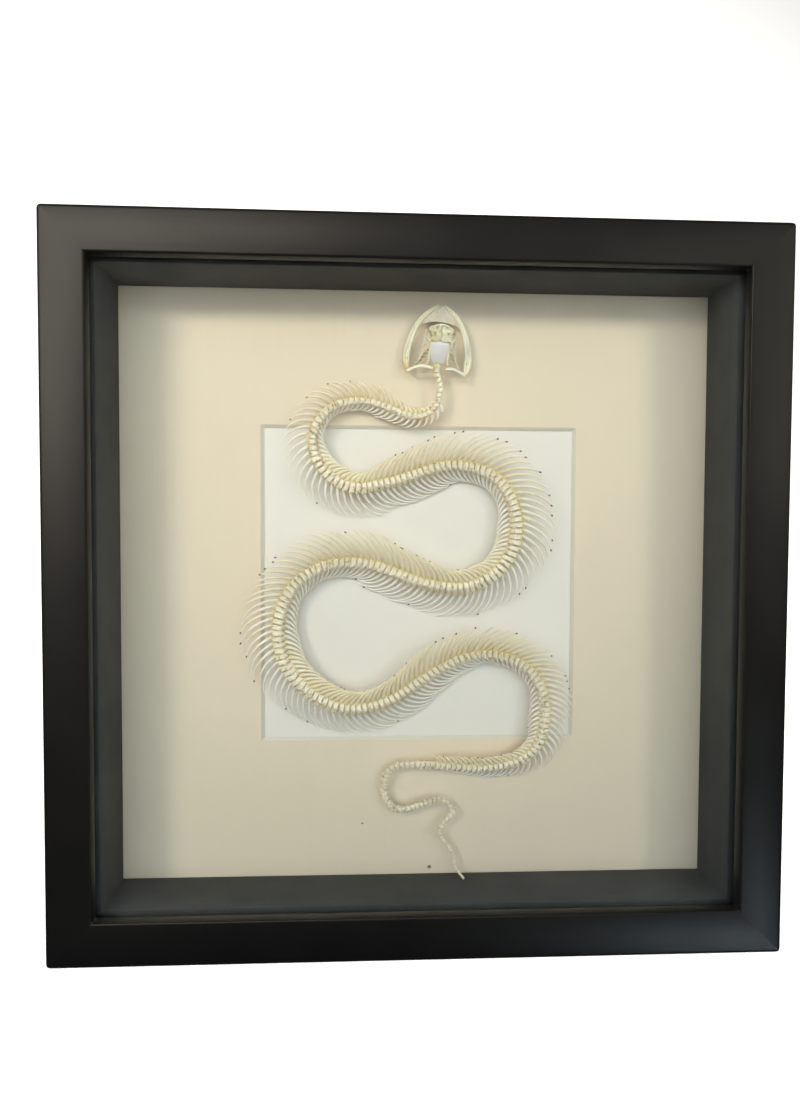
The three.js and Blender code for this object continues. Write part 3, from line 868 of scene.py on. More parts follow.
def body_directions(distance, inward=LEAN_INWARD):
    """The middle of the body there, as a matrix: X to its left, Y to its tail, Z out of its back."""
    tail = backbone.heading(distance)
    turning = backbone.heading(distance + BEND_REACH) - backbone.heading(distance - BEND_REACH)
    bend = across_part(turning, tail) * BEND_RADIUS / (2 * BEND_REACH)
    back = (TO_GLASS + across_part(DOWN, tail) * LEAN_DOWN + bend * inward).normalized()
    left = tail.cross(back).normalized()
    centre = backbone.point(distance)
    centre.y = MAT_FRONT - along(HEIGHT, distance / backbone.length)
    return placed(centre, left, tail, back), bend


NECK_LENGTH, TAIL_LENGTH = 56 * MM, 112 * MM
TRUNK_PARTS = 5
trunk_end = backbone.length - TAIL_LENGTH
starts = [0.0]
while starts[-1] + along(PITCH, starts[-1] / backbone.length) < backbone.length - MM:
    starts.append(starts[-1] + along(PITCH, starts[-1] / backbone.length))
print("the backbone is", round(backbone.length / MM), "mm long and has", len(starts), "vertebrae")

# %% [markdown]
# ## One vertebra
#
# A snake's vertebra is a short drum with a roof over the spinal cord. Two pairs of wings, in front and
# behind, lock it to its neighbours, a knob on each side carries the rib, and a thin blade stands on its
# back. The drum is swept through five rings, and the front wings, the knobs and the blade are pulled out
# of its faces. It is repeated more than two hundred times, so it stays at about sixty faces. The pattern
# has units of its own, and each copy is scaled to the pitch and the girth of its place. Its tone
# attribute says what each corner belongs to: the stained flanks, the pale blade, or the joints, where
# shade is painted into the gaps between the blades.

# %% The pattern of a vertebra
PATTERN_PITCH = 3.5  # from one vertebra to the next, in the pattern's own units
RING_SIDES = 8
FACE_TAIL = Matrix.Rotation(math.radians(-90), 4, "X")
TRUNK_RINGS = [  # place along the drum, half width, half height, rise
    (0.05, 2.9, 1.6, -0.3), (0.6, 3.6, 2.0, -0.1), (1.65, 3.3, 1.85, -0.1), (2.8, 3.5, 1.95, 0.0),
    (3.42, 2.9, 1.6, -0.3),
]
TRUNK_WINGS = [  # what is pulled out on each side: where, how far, and the scale of its end
    ((3.1, 0.35, -0.1), (0.55, -0.35, 0.3), (1, 0.7, 0.5)),
    ((2.8, 0.4, -1.2), (0.6, 0.1, -0.25), (0.7, 0.6, 0.6)),
]
TRUNK_BLADE = [
    ((0, 2.2, 1.85), (0, 0.2, 1.2), (0.2, 0.6, 1)),
    ((0, 3.1, 1.75), (0, 0.45, 1.9), (0.16, 0.6, 1)),
]
TAIL_RINGS = [
    (0.05, 2.2, 1.8, 0.0), (0.7, 2.9, 2.1, 0.0), (1.8, 2.2, 1.75, 0.0), (3.0, 2.6, 1.95, 0.0),
    (3.45, 2.2, 1.8, 0.0),
]
TAIL_WINGS = [
    ((2.4, 0.4, 0), (0.8, -0.1, -0.2), (1, 0.7, 0.5)),
    ((1.6, 1.2, -1.4), (0.2, 0.4, -0.7), (0.5, 0.8, 1)),
]
TAIL_BLADE = [((0, 1.2, 1.8), (0, 0.4, 0.9), (0.3, 0.9, 1))]


def ring_at(y, half_width, half_height, rise):
    """A ring across the Y axis, as a station for a sweep."""
    return Matrix.Translation((0, y, rise)) @ FACE_TAIL @ Matrix.Diagonal((half_width, half_height, 1, 1))


def vertebra_pattern(name, rings, wings, blade):
    bm = bmesh.new()
    half_side = math.pi / RING_SIDES
    sweep(bm, [ring_at(*row) for row in rings], RING_SIDES, turn=half_side)
    for side in (-1, 1):
        mirror = Vector((side, 1, 1))
        for near, offset, scale in wings:
            pull(bm, mirror * Vector(near), mirror * Vector(offset), scale)
    for near, offset, scale in blade:
        pull(bm, Vector(near), Vector(offset), scale)
    bmesh.ops.recalc_face_normals(bm, faces=bm.faces)
    return mesh_of(bm, name)


def trunk_tone(co):
    flank = clamp((abs(co.x) - 1.9) / 1.1) * (1.0 if co.z < 0.5 else 0.6)
    blade = clamp((co.z - 2.6) / 0.8)
    joint = min(abs(co.y), abs(co.y - PATTERN_PITCH)) < 0.45
    # Painted shade: the gaps between the blades at each joint are marked to be darkened.
    joint_shade = 1.0 if joint and abs(co.x) < 1.6 and 0.4 < co.z < 2.2 else 0.0
    return flank, blade, joint_shade, 1.0


def tail_tone(co):
    """For the plainer vertebrae of the tail, which have small side wings and a forked spine below."""
    flank = clamp((abs(co.x) - 1.4) / 1.4) * 0.8
    blade = clamp((co.z - 1.8) / 0.8)
    joint = min(abs(co.y), abs(co.y - PATTERN_PITCH)) < 0.3
    # Painted shade: the gaps between the blades at each joint are marked to be darkened.
    joint_shade = 1.0 if joint and abs(co.x) < 1.2 and co.z > 0.6 else 0.0
    return flank, blade, joint_shade, 1.0


trunk_pattern = vertebra_pattern("trunk_vertebra", TRUNK_RINGS, TRUNK_WINGS, TRUNK_BLADE)
tail_pattern = vertebra_pattern("tail_vertebra", TAIL_RINGS, TAIL_WINGS, TAIL_BLADE)
print("faces of a trunk vertebra:", len(trunk_pattern.polygons))
print("faces of a tail vertebra:", len(tail_pattern.polygons))

# %% [markdown]
# ## Bone
#
# Cleaned bone is cream and slightly shiny, paler where it is thin, and ochre where grease and dried
# gristle stayed in it: along the flanks, where the ribs sit. The three channels of the tone attribute
# say where the flanks, the blade and the joints are, and clouds of noise keep any of them from looking
# painted on. Small spots of brown marrow lie between. At the joints, the shade in the gaps between the
# blades is painted in brown.

# %% The finish of the backbone
def backbone_bone():
    finish = Finish("backbone_bone", Specular_IOR_Level=0.5)
    flank, blade, joint_shade = (finish.tone(channel) for channel in ("Red", "Green", "Blue"))
    cloud = finish.noise(7 * MM, detail=4, rough=0.6)
    grain = finish.noise(0.8 * MM, detail=3)
    patches = finish.between(finish.noise(16 * MM, detail=3), 0.38, 0.62)
    bone = finish.mix(cloud, paint(248, 230, 198), paint(254, 243, 222))
    stained = finish.mix(flank * (0.4 + 0.4 * patches), bone, paint(230, 208, 152))
    bladed = finish.mix(blade * 0.6, stained, paint(253, 247, 238))
    marrow = finish.between(finish.noise(2.2 * MM, detail=2), 0.6, 0.68)
    uneven = finish.between(finish.noise(5 * MM, detail=2), 0.35, 0.6)
    # Painted shade: brown in the gaps between the blades at the joints, uneven from one joint to the next.
    darkened_and_shaded = finish.mix(joint_shade * (0.05 + 0.5 * uneven), bladed, paint(150, 122, 88))
    finish.colour(finish.mix(marrow * 0.5, darkened_and_shaded, paint(142, 106, 60)))
    finish.roughness(0.34 + 0.2 * cloud + 0.2 * joint_shade)
    finish.bump(0.6 * cloud + 0.4 * grain, 0.12 * MM)
    return finish


# %% [markdown]
# ## Laying out the vertebrae
#
# Each length of the backbone is one piece: copies of the pattern, each turned and scaled by the
# directions of its place, joined in one mesh. Smooth noise then pushes the corners about a little, so
# that no two vertebrae are quite alike.

# %% Make the lengths of the backbone
tail_names = ["tail_base", "tail_tip"]
trunk_names = [f"trunk_{index}" for index in range(1, TRUNK_PARTS + 1)]
length_names = ["neck", *trunk_names, *tail_names]
trunk_step = (trunk_end - NECK_LENGTH) / TRUNK_PARTS
cuts = [0, NECK_LENGTH] + [NECK_LENGTH + step * trunk_step for step in range(1, TRUNK_PARTS + 1)]
cuts += [trunk_end + TAIL_LENGTH / 2, backbone.length]
backbone_finish = backbone_bone()
UNEVEN = 0.32 * MM
UNEVEN_SIZE = 1.4 * MM
NOISE_SEED = 7  # without a seed, noise vectors differ from run to run
noise.seed_set(NOISE_SEED)
PIVOT = 0.3  # where in its own length a vertebra is turned


def vertebra_spots(first, last):
    """The place and size of each vertebra of a length, as a matrix."""
    spots = []
    for index, start in enumerate(starts):
        if not first <= start < last:
            continue
        pitch = (starts[index + 1] if index + 1 < len(starts) else backbone.length) - start
        directions, bend = body_directions(start + PIVOT * pitch, CREST_INWARD)
        girth = along(GIRTH, start / backbone.length) * MM
        size = Matrix.Diagonal((girth, pitch / PATTERN_PITCH, girth, 1))
        step_back = Matrix.Translation((0, -PIVOT * pitch, 0))
        spots.append(directions @ step_back @ size)
    return spots


def add_copy(bm, pattern):
    """Adds the pattern to the bmesh, and gives the corners that came with it."""
    first = len(bm.verts)
    bm.from_mesh(pattern)
    bm.verts.ensure_lookup_table()
    return bm.verts[first:]


def add_vertebra(bm, layer, pattern, spot, tone):
    fresh = add_copy(bm, pattern)
    for vert in fresh:
        vert[layer] = tone(vert.co)
    bmesh.ops.transform(bm, matrix=spot, verts=fresh)
    for vert in fresh:
        vert.co += noise.noise_vector(vert.co / UNEVEN_SIZE) * UNEVEN


def vertebrae(name, first, last):
    in_tail = name in tail_names
    pattern, tone = (tail_pattern, tail_tone) if in_tail else (trunk_pattern, trunk_tone)
    bm = bmesh.new()
    layer = bm.verts.layers.float_color.new("tone")
    for spot in vertebra_spots(first, last):
        add_vertebra(bm, layer, pattern, spot, tone)
    nodes = [name] if in_tail else [f"{name}_left", f"{name}_right"]
    return finished(bm, f"{name}_vertebrae", [backbone_finish], nodes, sharp=50, tidy=False)


for name, first, last in zip(length_names, cuts, cuts[1:]):
    piece = vertebrae(name, first, last)
    print(piece.name, len(piece.data.polygons), "faces")

# %% [markdown]
# ## The tip of the tail
#
# The last vertebra runs out in a pale spike, the part that filled the horny tip of the skin.

# %% Make the tail spike
SPIKE_LENGTH = 4.4 * MM
SPIKE_RADII = [(0, 0.42), (0.3, 0.5), (0.65, 0.38), (1, 0.1)]


def tail_spike():
    bm = bmesh.new()
    stations = []
    for share, radius in SPIKE_RADII:
        directions, bend = body_directions(backbone.length - (1 - share) * SPIKE_LENGTH)
        stations.append(directions @ FACE_TAIL @ Matrix.Diagonal((radius * MM, radius * MM, 1, 1)))
    sweep(bm, stations, 10)
    return finished(bm, "tail_spike", [backbone_finish], ["tail_tip"])


tail_spike()

# %% [markdown]
# ## The ribs
#
# Nearly every trunk vertebra carries a pair of ribs. Each leaves its knob sideways, then sweeps round to
# the tail and comes down to the mat at its tip. A rib is a tapering rod with a thicker head.
# The pattern is a straight rod with eight steps along its length, and each copy is bent by moving its
# rings onto the rib's own curve. That is a Bezier curve from its root to its tip, which is drawn towards
# its shoulder and its bow on the way. The ribs inside a bend are shorter, because there is no room for
# more. No two are quite alike. The ribs that hang are paler than those that stand out upwards, which
# have kept more grease, and often a dark bead of gristle at the tip.

# %% The curve of a rib
RIB_LENGTH = [(0, 0), (0.02, 3.5), (0.07, 9), (0.14, 14), (0.25, 16), (0.55, 16), (0.66, 14.5),
              (0.78, 9), (0.84, 4), (0.845, 0)]
RIB_STEPS = 8
RIB_SIDES = 6
RIB_RADII = [(0, 1.3), (0.125, 1.02), (0.25, 0.9), (0.5, 0.72), (0.75, 0.5), (1, 0.28)]
SHORTEST_RIB = 3
LEAST_ROOM = 0.45
KNOB_OUT = 3.1
KNOB_DROP = 0.7 * MM
SHOULDER = (0.10, 0.34, 0.07)  # tailwards, sideways and backwards, in parts of the rib's length
BOW = (0.38, 0.76, 0.02)
TIP_OUT, TIP_BACK = 0.80, -0.13
LOWEST = MAT_FRONT - 0.5 * MM  # how near the middle of a rib may come to the mat
CHANCE_SEED = 7
chance = random.Random(CHANCE_SEED)


def rib_pattern():
    bm = bmesh.new()
    stations = [Matrix.Translation((0, 0, step / RIB_STEPS)) for step in range(RIB_STEPS + 1)]
    sweep(bm, stations, RIB_SIDES)
    bmesh.ops.recalc_face_normals(bm, faces=bm.faces)
    return mesh_of(bm, "rib")


def rib_curve(distance, side):
    """The rib's own curve there as four points, or None where the body has no ribs."""
    directions, bend = body_directions(distance)
    share = distance / backbone.length
    length = along(RIB_LENGTH, share)
    if length < SHORTEST_RIB:
        return None
    left, tail, back = (directions.col[index].to_3d() for index in range(3))
    outwards = left * side
    room = clamp(1 - 0.65 * bend.dot(outwards), LEAST_ROOM)
    length *= room * chance.uniform(0.95, 1.04) * MM
    root = directions.translation + outwards * KNOB_OUT * along(GIRTH, share) * MM - back * KNOB_DROP
    sweep_back = chance.uniform(0.80, 0.90)
    rise = chance.uniform(-0.02, 0.03)

    def at(tailwards, sideways, backwards, rise=0):
        point = root + (tail * tailwards + outwards * sideways + back * (backwards + rise)) * length
        sunk = max(0, point.y - LOWEST)
        point.y = min(point.y, LOWEST)
        return point + outwards * sunk * 0.5

    return [at(0, 0, 0), at(*SHOULDER, rise), at(*BOW, rise), at(sweep_back, TIP_OUT, TIP_BACK)]


def bezier(points, t):
    a, b, c, d = points
    s = 1 - t
    return a * s ** 3 + b * 3 * s * s * t + c * 3 * s * t * t + d * t ** 3


rib_mesh = rib_pattern()
print("faces of a rib:", len(rib_mesh.polygons))

# %% The finish of the ribs
def rib_bone():
    """Red runs from the rib's head to its tip, green is the bead, and blue is each rib's own shade."""
    finish = Finish("rib_bone", Specular_IOR_Level=0.5)
    reach, bead, own = (finish.tone(channel) for channel in ("Red", "Green", "Blue"))
    cloud = finish.noise(4 * MM, detail=3)
    pale = finish.mix(own, paint(246, 227, 190), paint(250, 244, 234))
    grease = (1 - finish.between(reach, 0.02, 0.2)) * (0.8 - 0.5 * own)
    greasy = finish.mix(grease, pale, paint(232, 210, 150))
    tinted = finish.mix(finish.between(cloud, 0.5, 0.75) * 0.35, greasy, paint(216, 190, 136))
    dark_end = finish.between(bead, 0.5, 0.8)
    finish.colour(finish.mix(dark_end, tinted, paint(78, 60, 44)))
    finish.roughness(0.32 + 0.15 * cloud + 0.2 * dark_end)
    finish.bump(cloud, 0.05 * MM)
    return finish


# %% Make the ribs
BEAD_CHANCE = 0.4
BEAD_RADIUS = 0.37 * MM
BEAD_START = 0.99
HANGING = -0.3  # a rib that leaves the backbone more steeply downwards than this hangs
rib_finish = rib_bone()


def bend_rib(fresh, layer, curve, bead, own):
    """Moves the rings of a straight rod of length 1 onto a curve."""
    for vert in fresh:
        t = vert.co.z
        centre = bezier(curve, t)
        heading = (bezier(curve, t + 0.02) - bezier(curve, t - 0.02)).normalized()
        level = heading.cross(TO_GLASS).normalized()
        upright = level.cross(heading)
        beaded = bead and t > BEAD_START
        radius = BEAD_RADIUS if beaded else along(RIB_RADII, t) * (1.05 - 0.3 * own) * MM
        vert[layer] = (t, 1.0 if beaded else 0.0, own, 1.0)
        vert.co = centre + (level * vert.co.x + upright * vert.co.y) * radius


def ribs(name, first, last, side, word):
    bm = bmesh.new()
    layer = bm.verts.layers.float_color.new("tone")
    count = 0
    for start in starts:
        if not first <= start < last:
            continue
        curve = rib_curve(start + 0.5 * MM, side)
        if curve is None:
            continue
        lift = (curve[1] - curve[0]).normalized().z
        bead = chance.random() < (BEAD_CHANCE if lift > HANGING else 0.25 * BEAD_CHANCE)
        paleness = clamp(0.45 - 0.8 * lift + chance.uniform(-0.2, 0.2))
        bend_rib(add_copy(bm, rib_mesh), layer, curve, bead, paleness)
        count += 1
    finished(bm, f"{name}_ribs_{word}", [rib_finish], [f"{name}_{word}"], sharp=80)
    return count


for name, first, last in zip(length_names[:-2], cuts, cuts[1:]):
    for side, word in ((1, "left"), (-1, "right")):
        print(name, word, "ribs:", ribs(name, first, last, side, word))

# %% [markdown]
# ## The places of the skull
#
# The skull lies on its lower jaw, with the roof of the head tipped up towards the glass. So there are two
# frames: one for the lower jaw and all that hangs on it, and one for the head, turned by 38 degrees more.
# In both, a place is given as millimetres outwards from the middle line, forwards, and up.

# %% Frames of the skull
SKULL_PLACE = mm(8.4, 6.5, 271)
SKULL_TURN = math.radians(4.5)
HEAD_TIP = math.radians(38)
HEAD_FORWARD = 2.4 * MM
WORDS = {-1: "left", 1: "right"}
jaw_frame = Matrix.Translation(SKULL_PLACE) @ Matrix.Rotation(SKULL_TURN, 4, "Y")
head_frame = jaw_frame @ Matrix.Translation((0, 0, HEAD_FORWARD)) @ Matrix.Rotation(HEAD_TIP, 4, "X")


def spot(out, forward, up):
    return Vector((out, -up, forward))


def on_side(side, places):
    """Places that are written for the right side, on the side of -1 or 1."""
    return [(side * out, forward, up) for out, forward, up in places]


# %% [markdown]
# ## Bone of the skull
#
# The skull has more colours than the backbone. The roof of the braincase is thin and pale grey, the
# bones between the eyes have kept some yellow fat, and the jaws are cream with an ochre back end. Three
# channels of the tone attribute carry these again: red for ochre, green for the pale grey, and blue for
# darkening, which is painted shade in holes, grooves and pits, and the dark of the crumbs, of bands
# along the pterygoids and of some whole bones. Small pits come from a cell pattern, with painted shade
# in them.

# %% The finish of the skull
def bone_of_skull():
    finish = Finish("skull_bone", Specular_IOR_Level=0.55)
    ochre, grey, dark = (finish.tone(channel) for channel in ("Red", "Green", "Blue"))
    cloud = finish.noise(3.2 * MM, detail=4, rough=0.6)
    grain = finish.noise(0.5 * MM, detail=3)
    bone = finish.mix(cloud, paint(242, 230, 200), paint(250, 242, 220))
    patches = finish.between(finish.noise(2.4 * MM, detail=3), 0.35, 0.6)
    fatty = finish.mix(ochre * (0.35 + 0.65 * patches), bone, paint(214, 190, 104))
    pale = finish.mix(grey, fatty, paint(245, 238, 238))
    # Painted shade: small dented pits, darkened brown.
    shaded_pits = finish.specks(1.3 * MM, 0.2 * MM) * finish.between(finish.noise(4 * MM), 0.42, 0.55)
    # The blue channel's darkening: painted shade in holes, grooves and pits, and the dark of crumbs and
    # bands.
    darkened_and_shaded = finish.mix(dark * 0.85, pale, paint(84, 66, 44))
    finish.colour(finish.mix(shaded_pits * 0.7, darkened_and_shaded, paint(110, 84, 46)))
    finish.roughness(0.30 + 0.18 * cloud + 0.2 * dark)
    finish.bump(0.6 * cloud + 0.4 * grain - 0.6 * shaded_pits, 0.14 * MM)
    return finish


skull_finish = bone_of_skull()


def roughen(bm, amount, size):
    """Pushes corners in and out by smooth noise, so that a bone looks grown. Millimetres."""
    bmesh.ops.recalc_face_normals(bm, faces=bm.faces)
    bm.normal_update()
    for vert in bm.verts:
        vert.co += vert.normal * amount * noise.noise(vert.co / size)


def skull_piece(bm, name, frame_of_piece, nodes, tone):
    """Finishes a bone that was shaped in millimetres: its tone, its frame, and a round surface."""
    layer = bm.verts.layers.float_color.new("tone")
    for vert in bm.verts:
        out, forward, up = vert.co.x, vert.co.z, -vert.co.y
        vert[layer] = (*tone(out, forward, up), 1.0)
    bmesh.ops.transform(bm, matrix=frame_of_piece @ Matrix.Scale(MM, 4), verts=bm.verts)
    piece = finished(bm, name, [skull_finish], nodes, sharp=70)
    rounding = piece.modifiers.new("rounding", "SUBSURF")
    rounding.levels = 1
    rounding.render_levels = 1
    return piece


# %% [markdown]
# ## Bars of bone
#
# Most bones of a snake's skull are curved bars. One helper grows all of them: it draws a smooth line
# through a few places, sets rings along it that stay level with the head, and narrows the two ends so
# that they are round. Its widths and heights are rows along it, from 0 at its start to 1 at its end. A
# profile function can dent the rings, for a groove along a jaw.

# %% Grow a bar
END_REACH = 0.07  # the share of a bar that is rounded at each end
TOOTH_RADII = [(0, 0.24), (0.4, 0.18), (0.75, 0.10), (1, 0.03)]
THROATWARDS = Vector((0, 0, -1))


def bar(bm, places, widths, heights, steps=14, sides=10, profile=None):
    """A bar through places in millimetres. Widths and heights are given as halves, as radii are."""
    line = Line(smooth_line([spot(*place) for place in places], 16))
    middle = [0.07 + 0.86 * step / steps for step in range(steps + 1)]
    shares = [0, 0.012, 0.035, *middle, 0.965, 0.988, 1]
    stations = []
    for share in shares:
        distance = share * line.length
        heading = line.heading(distance, reach=0.3)
        level = heading.cross(TO_GLASS).normalized()
        rise = level.cross(heading)
        gap = 1 - min(1, min(share, 1 - share) / END_REACH)
        round_end = max(0.3, math.sqrt(1 - gap * gap))
        half_width, half_height = along(widths, share) * round_end, along(heights, share) * round_end
        stations.append(placed(line.point(distance), level * half_width, rise * half_height, heading))
    sweep(bm, stations, sides, profile)
    return line


def tooth(bm, place, pointing, back, length, stout=1.0):
    """A needle tooth in millimetres: a thin cone that curves backwards."""
    stations = []
    side = pointing.cross(back).normalized()
    for share, thickness in TOOTH_RADII:
        radius = thickness * stout
        centre = place + pointing * share * length + back * share ** 2 * length * 0.45
        ahead = (pointing + back * 0.9 * share).normalized()
        stations.append(placed(centre, side * radius, ahead.cross(side) * radius, ahead))
    sweep(bm, stations, 6)


def tooth_row(bm, line, count, side, length, first=0.08, last=0.95, up=1.0):
    """Teeth along a bar. Up is 1 where they stand towards the glass and -1 where they hang."""
    for index in range(count):
        share = first + (last - first) * index / (count - 1)
        place = line.point(share * line.length)
        pointing = Vector((-side * 0.35, -up, 0)).normalized()
        tooth(bm, place, pointing, THROATWARDS, length * (0.8 + 0.4 * math.sin(share * math.pi)))


def even_tone(ochre, grey, dark):
    """The same tone all over a bone."""
    return lambda out, forward, up: (ochre, grey, dark)


PLAIN_TONE = even_tone(0.15, 0.0, 0.0)


def bar_bone(name, side, frame_of_piece, nodes, tone, places, widths, heights, rough=0, **shape):
    """A bone of one side that is a single bar."""
    bm = bmesh.new()
    bar(bm, on_side(side, places), widths, heights, **shape)
    if rough:
        roughen(bm, rough, 0.8)
    skull_piece(bm, f"{name}_{WORDS[side]}", frame_of_piece, nodes, tone)


# %% [markdown]
# ## The braincase
#
# A long closed box of thin bone round the brain. Its roof is a pale shield with a low rim along both
# sides and a fine crest in the middle. Behind, two small knobs carry the first vertebra. The box is
# closed there, and shade is painted on its back end where the openings between the knobs would be.

# %% Make the braincase
CRANIUM = [  # forward, half width, how high its top and how deep its bottom are
    (0, 2.4, 1.6, 1.0), (0.7, 3.3, 2.3, 1.3), (2.6, 4.1, 3.0, 1.5), (5, 4.7, 3.4, 1.7), (7.5, 5.1, 3.7, 1.9),
    (9.8, 5.3, 3.7, 1.9), (11.5, 5.5, 3.6, 1.8), (12.3, 5.6, 3.2, 1.6),
]


def across_head(forward, half_width, top, bottom):
    """A station across the head, in millimetres."""
    facing = Matrix.Diagonal((half_width, (top + bottom) / 2, 1, 1))
    return Matrix.Translation((0, (bottom - top) / 2, forward)) @ facing


def shield(x, y, share):
    if y > 0:
        return x, y
    rim = 0.10 * math.exp(-(((abs(x) - 0.78) / 0.12) ** 2))
    crest = 0.10 * math.exp(-((x / 0.10) ** 2))
    return x * (1 + 0.05 * abs(y)), y * (0.88 + rim + crest) - 0.16 * abs(x) * abs(y)


def braincase_tone(out, forward, up):
    roof = clamp(up - 0.6)
    edge = clamp((abs(out) - 3.7) / 0.8)
    # Painted shade: the closed back end between the knobs is darkened where the openings would be.
    behind = 1.0 if forward < 0.3 and abs(out) < 1.6 else 0.0
    return 0.25 * edge, roof * (1 - 0.75 * edge) * 0.9, behind


bm = bmesh.new()
sweep(bm, [across_head(*row) for row in CRANIUM], 28, profile=shield)
skull_piece(bm, "braincase", head_frame, ["cranium"], braincase_tone)

bm = bmesh.new()
for side in (-1, 1):
    bar(bm, on_side(side, [(0.7, 1.2, 0.2), (1.0, 0.0, 0.1), (0.8, -1.0, -0.1)]),
        [(0, 0.55), (1, 0.5)], [(0, 0.5), (1, 0.45)], steps=4, sides=8)
    bar(bm, on_side(side, [(2.6, 2.2, 1.2), (2.2, 0.6, 1.0), (1.2, -0.3, 0.9)]),
        [(0, 0.5), (1, 0.35)], [(0, 0.45), (1, 0.35)], steps=5, sides=8)
skull_piece(bm, "neck_knobs", head_frame, [], even_tone(0.6, 0.0, 0.25))


def knuckled(x, y, share):
    """Widens and narrows along the neck, with a low crest down its middle."""
    return x * (1 + 0.14 * math.sin(share * 15)), y * (1 + 0.3 * math.exp(-((x / 0.2) ** 2)))


def neck_tone(out, forward, up):
    return 0.9 * (out < 0), 0.3 * (out > 0), 0.1


bm = bmesh.new()
bar(bm, [(-0.3, 4.2, 0.6), (-0.1, 1.4, 0.8), (0.1, -2.2, 0.4)], [(0, 1.5), (0.5, 1.8), (1, 1.9)],
    [(0, 1.2), (1, 1.3)], steps=9, sides=12, profile=knuckled)
roughen(bm, 0.35, 1.0)
skull_piece(bm, "first_vertebrae", jaw_frame, [], neck_tone)
print("the braincase is", CRANIUM[-1][0], "mm long")

# %% [markdown]
# ## The bones between the eyes
#
# Two frontal bones make the roof between the eye sockets, side by side with a fine seam. In front of each
# socket is a knob, the prefrontal, and behind it a small curved strut, the postorbital. They are yellow
# with fat, more so on the left.

# %% Make the roof of the face
FRONTAL = [  # forward, half width, up
    (12.0, 2.4, 2.6), (12.9, 2.7, 3.0), (14.4, 2.0, 2.9), (15.8, 2.2, 2.9), (17.2, 2.7, 2.7),
    (17.9, 2.3, 2.3),
]
FURROWS = 1.6


def frontal(side):
    bm = bmesh.new()
    stations = []
    for forward, half_width, up in FRONTAL:
        centre = spot(side * (half_width + 0.06), forward, up)
        stations.append(Matrix.Translation(centre) @ Matrix.Diagonal((half_width, 0.62, 1, 1)))

    def furrowed(x, y, share):
        return x, y * (1 + 0.22 * math.sin(x * math.tau * FURROWS + share * 9)) if y < 0 else y

    sweep(bm, stations, 20, profile=furrowed)
    bmesh.ops.subdivide_edges(bm, edges=bm.edges, cuts=1, use_grid_fill=True)
    roughen(bm, 0.8, 0.8)
    fat = 0.6 if side < 0 else 0.1

    def tone(out, forward, up):
        seam = 1.0 if abs(out) < 0.16 else 0.0
        # Painted shade: a dark pit by the eye socket. The seam between the two bones is a dark joint.
        pit_shade = max(0, 1 - math.hypot(abs(out) - 3.2, forward - 16.4) / 0.9)
        return fat * min(1, 0.45 + abs(out) / 6), 0.0, min(1, 0.4 * seam + pit_shade)

    skull_piece(bm, f"frontal_{WORDS[side]}", head_frame, [], tone)


def socket_bones(side):
    """The prefrontal before the eye, and the postorbital behind it."""
    bar_bone("prefrontal", side, head_frame, [], even_tone(0.5, 0.0, 0.15),
             [(3.6, 17.4, 2.7), (5.0, 17.0, 2.2), (5.9, 16.2, 0.8), (6.2, 15.9, -0.8)],
             [(0, 0.9), (0.4, 1.1), (1, 0.6)], [(0, 0.7), (0.5, 0.8), (1, 0.6)], steps=8, rough=0.5)
    bar_bone("postorbital", side, head_frame, [], PLAIN_TONE,
             [(4.2, 12.3, 2.9), (5.6, 12.4, 2.2), (6.2, 13.0, 0.6), (6.1, 13.6, -1.2)],
             [(0, 0.7), (0.5, 0.45), (1, 0.35)], [(0, 0.6), (1, 0.4)], steps=8)


for side in (-1, 1):
    frontal(side)
    socket_bones(side)

# %% [markdown]
# ## The snout
#
# A snake's snout is a loose cluster of small bones: two thin nasals on top, a curved premaxilla across
# the front, and rough scroll-like bones inside the nose. It is the most ragged part of the skull.

# %% Make the snout
def nose_bones():
    bm = bmesh.new()
    for side in (-1, 1):
        bar(bm, on_side(side, [(1.2, 17.0, 2.2), (1.15, 17.9, 1.9), (0.75, 18.8, 1.1)]),
            [(0, 1.0), (0.6, 0.85), (1, 0.3)], [(0, 0.32), (1, 0.25)], steps=8)
        bar(bm, on_side(side, [(2.6, 16.9, 1.4), (3.3, 17.6, 0.9), (2.6, 18.4, 0.5)]),
            [(0, 0.7), (0.5, 1.0), (1, 0.4)], [(0, 0.6), (0.5, 0.8), (1, 0.4)], steps=7,
            profile=lambda x, y, share: (x * (1 + 0.16 * math.sin(share * 24)), y))
        bar(bm, on_side(side, [(1.4, 17.2, -0.4), (1.7, 17.9, -0.3), (1.2, 18.6, -0.2)]),
            [(0, 0.6), (1, 0.4)], [(0, 0.5), (1, 0.4)], steps=6)
    roughen(bm, 0.8, 0.7)
    skull_piece(bm, "nose_bones", head_frame, ["snout"], even_tone(0.4, 0.1, 0.1))
    bm = bmesh.new()
    places = [(-4.0, 17.8, -0.4), (-2.4, 18.7, -0.1), (0, 19.1, 0.2), (2.4, 18.7, -0.1), (4.0, 17.8, -0.4)]
    line = bar(bm, places, [(0, 0.35), (0.5, 0.75), (1, 0.35)], [(0, 0.35), (0.5, 0.6), (1, 0.35)])
    roughen(bm, 0.3, 0.9)
    for share in (0.3, 0.43, 0.57, 0.7):
        place = line.point(share * line.length)
        tooth(bm, place, Vector((0, 1, 0)), THROATWARDS, 1.1)
    skull_piece(bm, "premaxilla", head_frame, [], PLAIN_TONE)


nose_bones()

# %% [markdown]
# ## The upper jaws and the palate
#
# Each side has a maxilla with a row of curved teeth, and inside it a second row on the palatine and the
# pterygoid, the long bone that walks prey down the throat. A small strut, the ectopterygoid, ties the
# two together. They hang loosely from the braincase, which is why a snake can open so wide. The stout
# teeth of the maxilla stand in two ragged lines, as new ones grow beside the old.

# %% Make the upper jaws
STOUT_TEETH = 18


